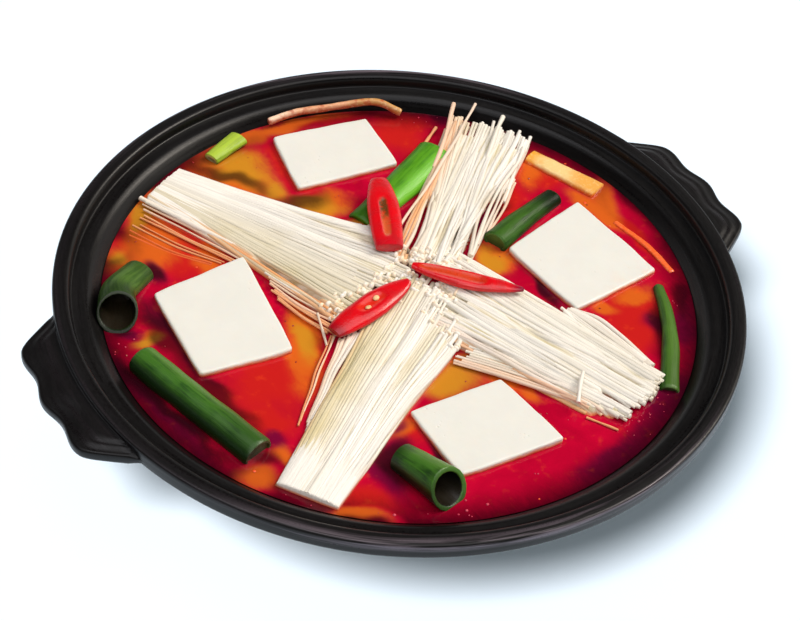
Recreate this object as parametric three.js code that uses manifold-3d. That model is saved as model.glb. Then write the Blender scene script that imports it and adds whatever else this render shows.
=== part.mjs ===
// A jeongol hot pot: a black stoneware pot with two wing lugs, filled with red broth, four tofu
// slices, four fanned bundles of enoki laid in a cross, green onion, chili and a few small pieces.
// Millimetres, +Z up. The origin is under the middle of the pot, the lugs lie along X.
import * as THREE from 'three'
import { mergeVertices } from 'three/addons/utils/BufferGeometryUtils.js'
import Module from 'manifold-3d'

const wasm = await Module()
wasm.setup()

// ---- driving dimensions -------------------------------------------------------------------
const GAP = 0.3 // clearance between pieces that touch
const TURN_STEPS = 56 // facets round the pot and the broth

// pot
const RIM_RADIUS = 140
const POT_HEIGHT = 62
const BASE_RADIUS = 80
const FLOOR_LEVEL = 7
const FLOOR_RADIUS = 70
const BROTH_LEVEL = 52
const BROTH_RADIUS = 121.5 // of the inner wall where the broth meets it
const RIM_WIDTH = 6.6 // of the raised ring round the mouth
const RIM_FACE = 6.7 // height of the ring's outer face
const LEDGE_DROP = 4.6 // from the ring's top down to the ledge that a lid would sit on
const LEDGE_RADIUS = 127 // inner edge of that ledge

// wing lugs
const LUG_REACH = 14 // beyond the rim
const LUG_HALF_ANGLE = 20 // degrees from the lug's middle to its root
const LUG_CORNER_ANGLE = 10.2 // degrees, where the flank starts to fall back to the rim
const LUG_WAVE = 1.1 // height of the wave along the outer edge
const LUG_WAVE_ANGLE = 9.4 // degrees from the middle bulge to each corner lobe
const LUG_TOP = POT_HEIGHT - 2.2
const LUG_THICKNESS = 5.6
const LUG_STEP = 0.6 // height of each low step on the lug's top

// food: heights are above the broth
const TOFU_LIFT = 2.6
const TOFU_THICKNESS = 12
const STRAND_RADIUS = 1
const CAP_RADIUS = 1.7

// ---- solids from geometry ------------------------------------------------------------------
function solidOf(geometry) {
  geometry.deleteAttribute('normal')
  geometry.deleteAttribute('uv')
  const merged = mergeVertices(geometry, 1e-4)
  return new wasm.Manifold(new wasm.Mesh({
    numProp: 3,
    vertProperties: new Float32Array(merged.attributes.position.array),
    triVerts: new Uint32Array(merged.index.array),
  }))
}

function geometryOf(solid) {
  const mesh = solid.getMesh()
  const geometry = new THREE.BufferGeometry()
  geometry.setAttribute('position', new THREE.BufferAttribute(mesh.vertProperties, 3))
  geometry.setIndex(new THREE.BufferAttribute(mesh.triVerts, 1))
  return geometry
}

// a closed body through rings of equally many points, its two ends closed by fans
function loft(rings) {
  const count = rings[0].length
  const points = rings.flat()
  const faces = []
  for (let ring = 0; ring + 1 < rings.length; ring += 1) {
    for (let side = 0; side < count; side += 1) {
      const a = ring * count + side
      const b = ring * count + (side + 1) % count
      faces.push(a, b, b + count, a, b + count, a + count)
    }
  }
  const ends = [[0, rings[0]], [points.length - count, rings[rings.length - 1]]]
  ends.forEach(([first, ring], end) => {
    const hub = points.length
    const middle = new THREE.Vector3()
    ring.forEach((point) => middle.addScaledVector(point, 1 / count))
    points.push(middle)
    for (let side = 0; side < count; side += 1) {
      const pair = [first + side, first + (side + 1) % count]
      faces.push(hub, pair[1 - end], pair[end])
    }
  })
  let volume = 0
  for (let k = 0; k < faces.length; k += 3) {
    const [a, b, c] = [points[faces[k]], points[faces[k + 1]], points[faces[k + 2]]]
    volume += a.dot(new THREE.Vector3().crossVectors(b, c))
  }
  if (volume < 0) faces.reverse()
  const geometry = new THREE.BufferGeometry().setFromPoints(points)
  geometry.setIndex(faces)
  return solidOf(geometry)
}

// a body of oval section along a mostly level path; shape(t) gives its half width, its height
// above and below the path, and how far the ring leans along the path for each mm of height
function sweep(path, steps, sides, shape) {
  const up = new THREE.Vector3(0, 0, 1)
  const rings = []
  for (let step = 0; step <= steps; step += 1) {
    const t = step / steps
    const { at = t, wide, high, keel = high, leanUp = 0 } = shape(t)
    const along = path.getTangent(at)
    const side = new THREE.Vector3().crossVectors(up, along).normalize()
    const top = new THREE.Vector3().crossVectors(along, side)
    const centre = path.getPoint(at)
    const ring = []
    for (let k = 0; k < sides; k += 1) {
      const angle = 2 * Math.PI * k / sides
      const out = wide * Math.cos(angle)
      const rise = (Math.sin(angle) > 0 ? high : keel) * Math.sin(angle)
      ring.push(centre.clone().addScaledVector(side, out).addScaledVector(top, rise)
        .addScaledVector(along, leanUp * rise))
    }
    rings.push(ring)
  }
  return loft(rings)
}

function pathThrough(...points) {
  const lifted = points.map(([x, y, z]) => new THREE.Vector3(x, y, BROTH_LEVEL + z))
  if (lifted.length === 2) return new THREE.LineCurve3(...lifted)
  return new THREE.CatmullRomCurve3(lifted)
}

// ---- pot -----------------------------------------------------------------------------------
function bend(from, pull1, pull2, to, steps) {
  const curve = new THREE.CubicBezierCurve(
    new THREE.Vector2(...from), new THREE.Vector2(...pull1),
    new THREE.Vector2(...pull2), new THREE.Vector2(...to))
  return curve.getPoints(steps)
}

// the bowl's inside from the broth line down to the middle of the floor
function innerWall(inset) {
  const wall = bend(
    [BROTH_RADIUS, BROTH_LEVEL], [BROTH_RADIUS - 13, BROTH_LEVEL - 20],
    [FLOOR_RADIUS + 24, FLOOR_LEVEL + 4], [FLOOR_RADIUS, FLOOR_LEVEL], 3)
  return wall.map((point) => new THREE.Vector2(point.x - inset, point.y + inset * 0.8))
}

function turned(profile) {
  const geometry = new THREE.LatheGeometry(profile, TURN_STEPS)
  geometry.rotateX(Math.PI / 2)
  return solidOf(geometry)
}

function potBowl() {
  const faceBottom = POT_HEIGHT - RIM_FACE
  const ringInner = RIM_RADIUS - RIM_WIDTH
  const ledge = POT_HEIGHT - LEDGE_DROP
  const neck = [RIM_RADIUS - 9, faceBottom - 2.8]
  const profile = [
    [0, 0], [BASE_RADIUS - 1.6, 0],
    ...bend([BASE_RADIUS, 1.8], [BASE_RADIUS + 18, 11], [RIM_RADIUS - 24, 31], neck, 3)
      .map((point) => [point.x, point.y]),
    [RIM_RADIUS - 7.4, faceBottom - 0.6],
    [RIM_RADIUS - 1.6, faceBottom], [RIM_RADIUS, faceBottom + 1.6],
    [RIM_RADIUS, POT_HEIGHT - 2.4], [RIM_RADIUS - 0.8, POT_HEIGHT - 0.8], [RIM_RADIUS - 2.4, POT_HEIGHT],
    [ringInner + 2, POT_HEIGHT], [ringInner + 0.5, POT_HEIGHT - 1.1],
    [ringInner, ledge + 0.6], [ringInner - 0.7, ledge], [LEDGE_RADIUS, ledge - 0.4],
    [LEDGE_RADIUS - 1.7, ledge - 1.3],
    ...innerWall(0).map((point) => [point.x, point.y]),
    [0, FLOOR_LEVEL],
  ]
  return turned(profile.map(([radius, height]) => new THREE.Vector2(radius, height)))
}

// the broth fills the bowl up to its level, a hair off the wall
function brothPool() {
  const wall = innerWall(GAP)
  wall[0].y = BROTH_LEVEL
  const bottom = new THREE.Vector2(0, wall[wall.length - 1].y)
  return turned([bottom, ...wall.reverse(), new THREE.Vector2(0, BROTH_LEVEL)])
}

const radians = THREE.MathUtils.degToRad

// the lug's outer edge in polar form: a waved front, two round corners, flanks back to the rim
function lugRadius(angle, inset) {
  const flank = THREE.MathUtils.smoothstep(Math.abs(angle), LUG_CORNER_ANGLE, LUG_HALF_ANGLE)
  const wave = LUG_WAVE * Math.cos(2 * Math.PI * angle / LUG_WAVE_ANGLE) * (1 - flank)
  return RIM_RADIUS + (LUG_REACH - inset) * (1 - flank) + wave - 3 * flank
}

function lugLayer(inset, bottom, top, bevel) {
  const half = LUG_HALF_ANGLE - inset * 0.35
  const points = []
  for (let step = -10; step <= 10; step += 1) {
    const angle = half * step / 10
    const radius = lugRadius(angle * LUG_HALF_ANGLE / half, inset)
    points.push(new THREE.Vector2(radius, 0).rotateAround(new THREE.Vector2(), radians(angle)))
  }
  for (let step = 2; step >= -2; step -= 1) {
    const angle = radians((half + 1) * step / 2)
    points.push(new THREE.Vector2(RIM_RADIUS - 4.5, 0).rotateAround(new THREE.Vector2(), angle))
  }
  const geometry = new THREE.ExtrudeGeometry(new THREE.Shape(points), {
    depth: top - bottom - 2 * bevel,
    bevelEnabled: bevel > 0,
    bevelThickness: bevel,
    bevelSize: bevel,
    bevelOffset: -bevel,
    bevelSegments: 1,
    curveSegments: 1,
  })
  geometry.translate(0, 0, bottom + bevel)
  return geometry
}

function lug(side) {
  const layers = [
    lugLayer(0, LUG_TOP - LUG_THICKNESS, LUG_TOP - 2 * LUG_STEP, 1.2),
    lugLayer(4.2, LUG_TOP - LUG_THICKNESS / 2, LUG_TOP - LUG_STEP, 0.3),
    lugLayer(8.4, LUG_TOP - LUG_THICKNESS / 2, LUG_TOP, 0.3),
  ]
  layers.forEach((geometry) => geometry.rotateZ(side > 0 ? 0 : Math.PI))
  return layers.map(solidOf).reduce((whole, layer) => whole.add(layer))
}

function pot() {
  return potBowl().add(lug(1)).add(lug(-1))
}

// ---- tofu ----------------------------------------------------------------------------------
// corners in plan, and how the slice tips: rise towards +X and towards +Y, in mm a mm
const TOFU = {
  tofu_back: { corners: [[-9.3, 74.6], [39.3, 71.9], [41.5, 105.7], [-3.6, 110.6]], tip: [0, 0.01] },
  tofu_left: { corners: [[-94.2, -8.7], [-55.1, -12], [-49, 45.4], [-92, 40.8]], tip: [0.015, 0] },
  tofu_right: { corners: [[59.9, -39.8], [104.8, -33.3], [97.9, 17.4], [53.4, 3.8]], tip: [-0.01, 0.012] },
  tofu_front: { corners: [[-29.2, -97], [16.4, -98], [10.8, -60], [-30.5, -59.6]], tip: [0.01, -0.01] },
}

function tofu({ corners, tip }, grow = 0) {
  const middle = corners.reduce((sum, [x, y]) => [sum[0] + x / 4, sum[1] + y / 4], [0, 0])
  const bevel = 0.7
  const shape = new THREE.Shape(corners.map(([x, y]) => {
    const arm = new THREE.Vector2(x - middle[0], y - middle[1])
    arm.setLength(arm.length() + grow * 1.5)
    return arm
  }))
  const geometry = new THREE.ExtrudeGeometry(shape, {
    depth: TOFU_THICKNESS - 2 * bevel + 2 * grow,
    bevelEnabled: true,
    bevelThickness: bevel,
    bevelSize: bevel,
    bevelOffset: -bevel,
    bevelSegments: 1,
  })
  geometry.translate(0, 0, TOFU_LIFT - TOFU_THICKNESS + bevel - grow)
  geometry.applyMatrix4(new THREE.Matrix4().set(
    1, 0, 0, 0,
    0, 1, 0, 0,
    tip[0], tip[1], 1, 0,
    0, 0, 0, 1))
  geometry.translate(middle[0], middle[1], BROTH_LEVEL)
  return solidOf(geometry)
}

// ---- green onion ---------------------------------------------------------------------------
// path points are x, y and height of the axis above the broth; wide and high are half sizes at
// the first and the last end; a hollow end has a wall, a depth and a slanting cut
const ONION = {
  onion_bright: { path: [[6, 46, -0.4], [32, 58, 1.4], [58, 71, 2.6]], wide: [6.4, 9], high: [3.6, 4.8] },
  onion_right_short: {
    path: [[50.5, 9.5, 2.2], [72, 18.5, 1.6], [91, 25.5, 0.6]], wide: [6, 4.4], high: [4.6, 3.6],
  },
  onion_right_rim: {
    path: [[100, -41, 0], [93.5, -56, 1], [83.5, -73, 1.2], [69, -93, 0]], wide: [2.2, 4.2], high: [2.2, 3],
  },
  onion_left_tube: {
    path: [[-90.5, 56, 0.6], [-104, 46.5, 3], [-110, 34, 4.8]], wide: [6.4, 8], high: [5, 6],
    hollow: { wall: 1, depth: 14, leanUp: -1.1 },
  },
  onion_left_long: {
    path: [[-111, 9, 1.6], [-102, -22, 2], [-91.5, -54, 1.2]], wide: [6.7, 7], high: [5.6, 5.4],
  },
  onion_front_tube: {
    path: [[-44.8, -79, 1.8], [-41.8, -90, 4], [-38.4, -102.8, 5.9]], wide: [6, 8.2], high: [5.4, 7.2],
    hollow: { wall: 2.2, depth: 13, leanUp: -0.55 },
  },
  onion_small: {
    path: [[-34, 108.6, 1.2], [-25, 112.6, 1.8], [-16.8, 116.2, 2]], wide: [3.6, 4.8], high: [2.2, 2.6],
  },
}
const ONION_SIDES = 10

function onion({ path, wide, high, hollow }, grow = 0) {
  const axis = pathThrough(...path)
  const length = axis.getLength()
  const blunt = 0.8 // how much the two ends round off
  const size = (pair, t) => THREE.MathUtils.lerp(pair[0], pair[1], t)
  const steps = 4
  const body = sweep(axis, steps, ONION_SIDES, (t) => {
    const atEnd = t === 0 || (t === 1 && !hollow)
    const shrink = atEnd ? blunt : 0
    return {
      at: THREE.MathUtils.clamp(t + (t - 0.5) * 2 * (grow / length), 0, 1),
      wide: size(wide, t) - shrink + grow,
      high: size(high, t) - shrink + grow,
      leanUp: hollow ? hollow.leanUp * t : 0,
    }
  })
  if (!hollow || grow > 0) return body
  const mouth = axis.getPoint(1)
  const along = axis.getTangent(1)
  const inner = mouth.clone().addScaledVector(along, -hollow.depth)
  const outer = mouth.clone().addScaledVector(along, 8)
  const bore = sweep(new THREE.LineCurve3(inner, outer), 3, ONION_SIDES, (t) => {
    const taper = t > 0 ? 1 : 0.45
    return {
      wide: (wide[1] - hollow.wall) * taper,
      high: (high[1] - hollow.wall) * taper,
      leanUp: hollow.leanUp,
    }
  })
  return body.subtract(bore)
}

// ---- chili, carrot, mushroom ---------------------------------------------------------------
// slanting slices of chili: an oval boat with a hollow face; ends are the half widths of its two
// ends as shares of the widest place
const CHILI = {
  chili_back: { path: [[22, 59.6, 8.4], [4.2, 18.5, 8.8]], wide: 7, thick: 2.6, ends: [0.45, 0.8] },
  chili_left: { path: [[-38.5, -13, 5.8], [1.6, -2.4, 9]], wide: 6.4, thick: 2.5, ends: [0.5, 0.2] },
  chili_right: {
    path: [[7.4, 5.6, 8.9], [23.6, -11.2, 8.4], [42.6, -25.4, 7.6]], wide: 4.6, thick: 2.3, ends: [0.3, 0.12],
  },
}
const CHILI_FACE = [0.12, 0.86] // where the hollow face starts and ends along the slice
const CHILI_SKIN = 1.9 // left beside the hollow

function chili({ path, wide, thick, ends }, grow = 0) {
  const axis = pathThrough(...path)
  const fullness = (t) => {
    const end = ends[t < 0.5 ? 0 : 1]
    return end + (1 - end) * Math.pow(Math.sin(Math.PI * t), 0.7)
  }
  const body = sweep(axis, 7, 8, (t) => ({
    wide: wide * fullness(t) + grow,
    high: thick * Math.max(fullness(t), 0.4) + grow,
  }))
  if (grow > 0) return body
  const face = sweep(axis, 5, 6, (t) => {
    const at = THREE.MathUtils.lerp(...CHILI_FACE, t)
    const taper = 0.35 + 0.65 * Math.sin(Math.PI * t)
    return { at, wide: (wide - CHILI_SKIN) * fullness(at) * taper, high: 1.4 }
  })
  return body.subtract(face.translate([0, 0, thick]))
}

// a flat bar with square ends: a cut stick of carrot
const CARROT = {
  carrot_stick: { path: [[96.2, 54, 0], [111.6, 21, -0.4]], wide: [4.2, 5.4], high: [2.4, 2.6] },
  carrot_sliver: {
    path: [[106.8, 1, -0.5], [110.6, -18, -0.3], [111, -36, -0.7]], wide: [1.2, 1.5], high: [1.2, 1.3],
  },
}

function carrot({ path, wide, high }, grow = 0) {
  return sweep(pathThrough(...path), 4, 8, (t) => ({
    wide: THREE.MathUtils.lerp(wide[0], wide[1], t) + grow,
    high: THREE.MathUtils.lerp(high[0], high[1], t) + grow,
  }))
}

const MUSHROOM = {
  mushroom_strip: {
    path: [
      [-0.5, 120, 3.2], [12.7, 119.9, 4.2], [27, 117.2, 4.4], [43.5, 113, 5.4], [50.5, 109.4, 5.4],
      [57.4, 102.2, 2.8],
    ],
    wide: 1.9, high: 2.3,
  },
}

function mushroom({ path, wide, high }, grow = 0) {
  return sweep(pathThrough(...path), 8, 8, (t) => {
    const round = t === 0 || t === 1 ? 0.6 : 1
    return { wide: wide * round + grow, high: high * round + grow }
  })
}

// ---- enoki ---------------------------------------------------------------------------------
// a bundle fans from its cut end, out by the wall, to its caps in the middle of the pot; widths
// and rises above the broth are at the cut end and at the caps; the caps end in a wedge, falling
// back on each side of its apex; loose strands run from a tip in the broth to a root in the bundle
const ENOKI = {
  enoki_front_left: {
    cut: [-85, -80.3], caps: [11, -8.3], width: [26, 42], rise: [3, 6.6],
    wedge: [0.9, 0.9], apex: 7, seed: 41,
    loose: [[[-73, -49], [-27, -17]], [[-64, -34], [-24, -14]]],
  },
  enoki_back_left: {
    cut: [-60, 101.5], caps: [-1.8, -1], width: [25, 60], rise: [3.4, 6.4],
    wedge: [0.35, 1.6], apex: 10, ragged: 4, seed: 11,
    loose: [[[-76, 90], [-48, 49]], [[-81, 80], [-47, 53]]],
  },
  enoki_front_right: {
    cut: [54, -92.5], caps: [18, -13], width: [38, 46], rise: [4, 6.4],
    wedge: [-0.45, 0.1], ragged: 5, seed: 37,
    loose: [[[31, -98], [10, -45]], [[25, -86], [7, -34]]],
  },
  enoki_back_right: {
    cut: [82, 69], caps: [16, 6.5], width: [40, 31], rise: [6.6, 6.4],
    wedge: [0.1, 0.1], ragged: 11, tipUp: 22, seed: 23,
    loose: [],
  },
}
const ENOKI_DEPTH = 7 // of the bundle under the broth
const CORE_START = 0.03 // the solid core's two ends, as shares of the bundle's length
const CORE_END = 0.9
const CORE_SIDES = 12
const CORE_SQUARE = 4 // how boxy the bundle's section is
const CORE_INSET = 0.7 // from the strands' crowns to the core
const STRAND_EDGE = 2 // from the bundle's side in to the outermost strand
const STRAND_SINK = 0.25 // of a strand's axis into the core
const STRAND_PITCH = 2.9
const STRAND_SIDES = 4
const STRAND_BENDS = [0.06, 0.5] // where a strand's path bends, between its two ends
const STRAND_KEEL = 2.6 // how deep a strand reaches into the core
const LOOSE_RISE = 1.4 // of a loose strand's axis above the broth

// repeatable random numbers from 0 to 1
function dice(seed) {
  let state = seed
  return () => {
    state = (state * 48271) % 2147483647
    return state / 2147483647
  }
}

// where a bundle's surface is: t runs from the cut end to the caps, u across from -1 to 1
function bundleFrame({ cut, caps, width, rise, wedge, apex = 0, tipUp = 0 }) {
  const from = new THREE.Vector2(...cut)
  const run = new THREE.Vector2(...caps).sub(from)
  const across = new THREE.Vector2(-run.y, run.x).normalize()
  const half = (t) => THREE.MathUtils.lerp(width[0], width[1], t) / 2
  const height = (t) => THREE.MathUtils.lerp(rise[0], rise[1], t)
  const crown = (u) => Math.pow(Math.max(1 - Math.pow(Math.abs(u), CORE_SQUARE), 0), 1 / CORE_SQUARE)
  const plan = (t, offset) => {
    const slope = wedge[offset < apex ? 0 : 1]
    const share = THREE.MathUtils.clamp(2 * t - 1, 0, 1)
    const back = slope * share * Math.abs(offset - apex) / run.length()
    return from.clone().addScaledVector(run, t - back).addScaledVector(across, offset)
  }
  return { run, half, height, crown, plan, tipUp }
}

const boxy = (value) => Math.sign(value) * Math.pow(Math.abs(value), 2 / CORE_SQUARE)

// a body inside the bundle, or round it where the insets are negative
function bundleBody(bundle, { side, top, bottom, ends }) {
  const { run, half, height, plan } = bundleFrame(bundle)
  const extra = ends / run.length()
  const stops = [CORE_START - extra, 0.35, 0.65, CORE_END + extra]
  const rings = stops.map((t) => {
    const points = []
    for (let k = 0; k < CORE_SIDES; k += 1) {
      const angle = 2 * Math.PI * k / CORE_SIDES
      const tall = Math.sin(angle) > 0 ? height(t) - top : ENOKI_DEPTH + bottom
      const place = plan(t, boxy(Math.cos(angle)) * (half(t) - side))
      points.push(new THREE.Vector3(place.x, place.y, BROTH_LEVEL + boxy(Math.sin(angle)) * tall))
    }
    return points
  })
  return loft(rings)
}

function enokiCore(bundle, grow = 0) {
  return bundleBody(bundle, {
    side: CORE_INSET * 2 - grow, top: CORE_INSET - grow, bottom: grow, ends: grow * 4,
  })
}

// the room that a bundle takes with its strands, kept free of the other bundles
function enokiRoom(bundle) {
  return bundleBody(bundle, { side: -1.8, top: -2, bottom: GAP, ends: 14 })
}

// one strand lies along the bundle's top, with its cap towards the middle of the pot
function strand(frame, { u, start, end, lift, sway, grow }) {
  const points = []
  for (const t of [start, ...STRAND_BENDS, end]) {
    const offset = u * (frame.half(t) - STRAND_EDGE) + sway * Math.sin(Math.PI * t)
    const top = (frame.height(t) - CORE_INSET) * frame.crown(offset / frame.half(t)) - STRAND_SINK
    const raised = Math.max(CORE_START - t, 0) * frame.tipUp
    const place = frame.plan(t, offset)
    points.push([place.x, place.y, Math.max(top + lift, STRAND_RADIUS + GAP) + raised])
  }
  return sweep(pathThrough(...points), points.length - 1, STRAND_SIDES, (t) => {
    const radius = (t === 1 ? CAP_RADIUS : STRAND_RADIUS) + grow
    const free = t === 0 || t === 1
    return { wide: radius, high: radius, keel: free ? radius : STRAND_KEEL }
  })
}

function looseStrand([tip, root]) {
  const path = pathThrough([...tip, LOOSE_RISE], [...root, LOOSE_RISE + 0.6])
  return sweep(path, 1, STRAND_SIDES, () => ({ wide: STRAND_RADIUS, high: STRAND_RADIUS }))
}

function enoki(bundle, grow = 0) {
  const random = dice(bundle.seed)
  const frame = bundleFrame(bundle)
  const ragged = (bundle.ragged ?? 2) / frame.run.length()
  const count = Math.round(Math.max(...bundle.width) / STRAND_PITCH)
  let whole = enokiCore(bundle, grow)
  for (let k = 0; k < count; k += 1) {
    const u = THREE.MathUtils.clamp((k + 0.3 * (random() - 0.5)) / (count - 1) * 2 - 1, -1, 1)
    const start = 0.01 - ragged * (random() * 1.4 - 0.4)
    const end = 1 - 0.06 * random()
    const lift = 0.25 * (random() - 0.5)
    const sway = Math.abs(u) < 0.8 ? 0.8 * (random() - 0.5) : 0
    whole = whole.add(strand(frame, { u, start, end, lift, sway, grow }))
  }
  return bundle.loose.map(looseStrand).reduce((sum, one) => sum.add(one), whole)
}

// ---- the whole ------------------------------------------------------------------------------
const group = new THREE.Group()

function show(name, solid, colour, roughness) {
  const material = new THREE.MeshStandardMaterial({ color: colour, roughness, metalness: 0 })
  const mesh = new THREE.Mesh(geometryOf(solid), material)
  mesh.name = name
  group.add(mesh)
}

const kinds = [
  [CHILI, chili, '#d3131c', 0.3],
  [TOFU, tofu, '#f6f1e4', 0.6],
  [ONION, onion, '#2f7a1f', 0.4],
  [CARROT, carrot, '#f2a93a', 0.4],
  [MUSHROOM, mushroom, '#e3b98c', 0.5],
]

// each piece gives way to the ones before it, and the broth to them all
const taken = []
const pockets = []
const clearOf = (solid, others) => others.reduce((rest, other) => rest.subtract(other), solid)
for (const [pieces, make, colour, roughness] of kinds) {
  for (const [name, piece] of Object.entries(pieces)) {
    show(name, clearOf(make(piece), taken), colour, roughness)
    taken.push(make(piece, GAP))
    pockets.push(make(piece, GAP))
  }
}
for (const [name, bundle] of Object.entries(ENOKI)) {
  show(name, clearOf(enoki(bundle), taken), '#f3ead2', 0.5)
  taken.push(enokiRoom(bundle), enoki(bundle, GAP))
  pockets.push(enokiCore(bundle, GAP))
}
show('broth', clearOf(brothPool(), pockets), '#c4202a', 0.1)
show('pot', pot(), '#1d1a19', 0.45)

export default group
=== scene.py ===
"""A jeongol hot pot: red broth, tofu, enoki, green onion and chili in a black stoneware pot."""

import math
import random

import bmesh
import bpy
import numpy as np
from mathutils import Matrix, Vector, noise
from mathutils.bvhtree import BVHTree


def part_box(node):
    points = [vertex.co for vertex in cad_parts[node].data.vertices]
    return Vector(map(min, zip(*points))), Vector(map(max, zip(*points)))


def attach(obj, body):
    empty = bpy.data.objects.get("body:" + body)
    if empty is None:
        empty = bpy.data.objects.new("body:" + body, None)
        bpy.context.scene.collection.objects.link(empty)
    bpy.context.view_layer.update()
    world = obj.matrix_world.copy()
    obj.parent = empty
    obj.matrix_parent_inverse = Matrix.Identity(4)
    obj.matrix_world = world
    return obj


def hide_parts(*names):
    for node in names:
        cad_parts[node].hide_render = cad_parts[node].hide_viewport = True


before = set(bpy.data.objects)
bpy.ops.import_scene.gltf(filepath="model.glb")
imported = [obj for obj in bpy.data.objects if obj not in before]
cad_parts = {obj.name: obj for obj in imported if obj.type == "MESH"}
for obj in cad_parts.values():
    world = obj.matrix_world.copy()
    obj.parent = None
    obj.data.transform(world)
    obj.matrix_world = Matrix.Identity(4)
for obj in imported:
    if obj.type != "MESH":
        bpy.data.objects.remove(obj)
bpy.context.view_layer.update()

bl_info = {
    "name": "Jeongol hot pot",
    "version": (1, 0, 0),
    "blender": (4, 5, 0),
    "location": "3D View > Sidebar > Hot Pot",
    "description": "Builds a hot pot of red broth, tofu, enoki, green onion and chili in its black pot",
    "category": "Object",
}

MM = 0.001
POT_LOW, POT_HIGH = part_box("pot")
RIM_RADIUS = (POT_HIGH.y - POT_LOW.y) / 2
POT_HEIGHT = POT_HIGH.z
BROTH_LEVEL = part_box("broth")[1].z

# ---- the food's plan, in mm: x, y, and heights above the broth --------------------------------
TOFU = {
    "tofu_back": dict(corners=[(-9.3, 74.6), (39.3, 71.9), (41.5, 105.7), (-3.6, 110.6)], tip=(0, 0.01)),
    "tofu_left": dict(corners=[(-94.2, -8.7), (-55.1, -12), (-49, 45.4), (-92, 40.8)], tip=(0.015, 0)),
    "tofu_right": dict(corners=[(59.9, -39.8), (104.8, -33.3), (97.9, 17.4), (53.4, 3.8)],
                       tip=(-0.01, 0.012)),
    "tofu_front": dict(corners=[(-29.2, -97), (16.4, -98), (10.8, -60), (-30.5, -59.6)], tip=(0.01, -0.01)),
}

# wide and high are half sizes at the first and the last end; a hollow end has a wall and a depth
ONION = {
    "onion_bright": dict(path=[(6, 46, -0.4), (32, 58, 1.4), (58, 71, 2.6)], wide=(6.4, 9), high=(3.6, 4.8)),
    "onion_right_short": dict(path=[(50.5, 9.5, 2.2), (72, 18.5, 1.6), (91, 25.5, 0.6)],
                              wide=(6, 4.4), high=(4.6, 3.6)),
    "onion_right_rim": dict(path=[(100, -41, 0), (93.5, -56, 1), (83.5, -73, 1.2), (69, -93, 0)],
                            wide=(2.2, 4.2), high=(2.2, 3)),
    "onion_left_tube": dict(path=[(-90.5, 56, 0.6), (-104, 46.5, 3), (-110, 34, 4.8)],
                            wide=(6.4, 8), high=(5, 6), wall=1, depth=14, lean=-1.1),
    "onion_left_long": dict(path=[(-111, 9, 1.6), (-102, -22, 2), (-91.5, -54, 1.2)],
                            wide=(6.7, 7), high=(5.6, 5.4)),
    "onion_front_tube": dict(path=[(-44.8, -79, 1.8), (-41.8, -90, 4), (-38.4, -102.8, 5.4)],
                             wide=(6, 8.2), high=(5.4, 7.2), wall=1.7, depth=13, lean=-0.55),
    "onion_small": dict(path=[(-34, 108.6, 1.2), (-25, 112.6, 1.8), (-16.8, 116.2, 2)],
                        wide=(3.6, 4.8), high=(2.2, 2.6)),
}

# ends are the widths of the two tips as a share of wide; the slot has a from, a to and a lean to one
# side, in shares; the seeds are places along and across
CHILI = {
    "chili_back": dict(path=[(22, 59.6, 8.4), (4.2, 18.5, 8.8)], wide=7, thick=2.6, ends=(0.45, 0.8),
                       slot=(0.28, 0.92, -0.04), slot_wide=0.3, seeds=[]),
    "chili_left": dict(path=[(-38.5, -13, 5.8), (1.6, -2.4, 9)], wide=6.4, thick=2.5, ends=(0.5, 0.2),
                       slot=(0.3, 0.72, 0.1), slot_wide=0.5, seeds=[(0.44, -0.1), (0.58, 0.15)]),
    "chili_right": dict(path=[(7.4, 5.6, 8.9), (23.6, -11.2, 8.4), (42.6, -25.4, 7.6)], wide=4.6, thick=2.3,
                        ends=(0.3, 0.12), slot=(0.02, 0.72, 0.1), slot_wide=0.7, seeds=[]),
}

CARROT = {
    "carrot_stick": dict(path=[(96.2, 54, 0), (111.6, 21, -0.4)], wide=(4.2, 5.4), high=(2.4, 2.6)),
    "carrot_sliver": dict(path=[(106.8, 1, -0.5), (110.6, -18, -0.3), (111, -36, -0.7)],
                          wide=(1.2, 1.5), high=(1.2, 1.3)),
}
MUSHROOM = dict(path=[(-0.5, 120, 3.2), (12.7, 119.9, 4.2), (27, 117.2, 4.4), (43.5, 113, 5.4),
                      (50.5, 109.4, 5.4), (57.4, 102.2, 2.8)], wide=(1.35, 1.35), high=(1.7, 1.7))

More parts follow.
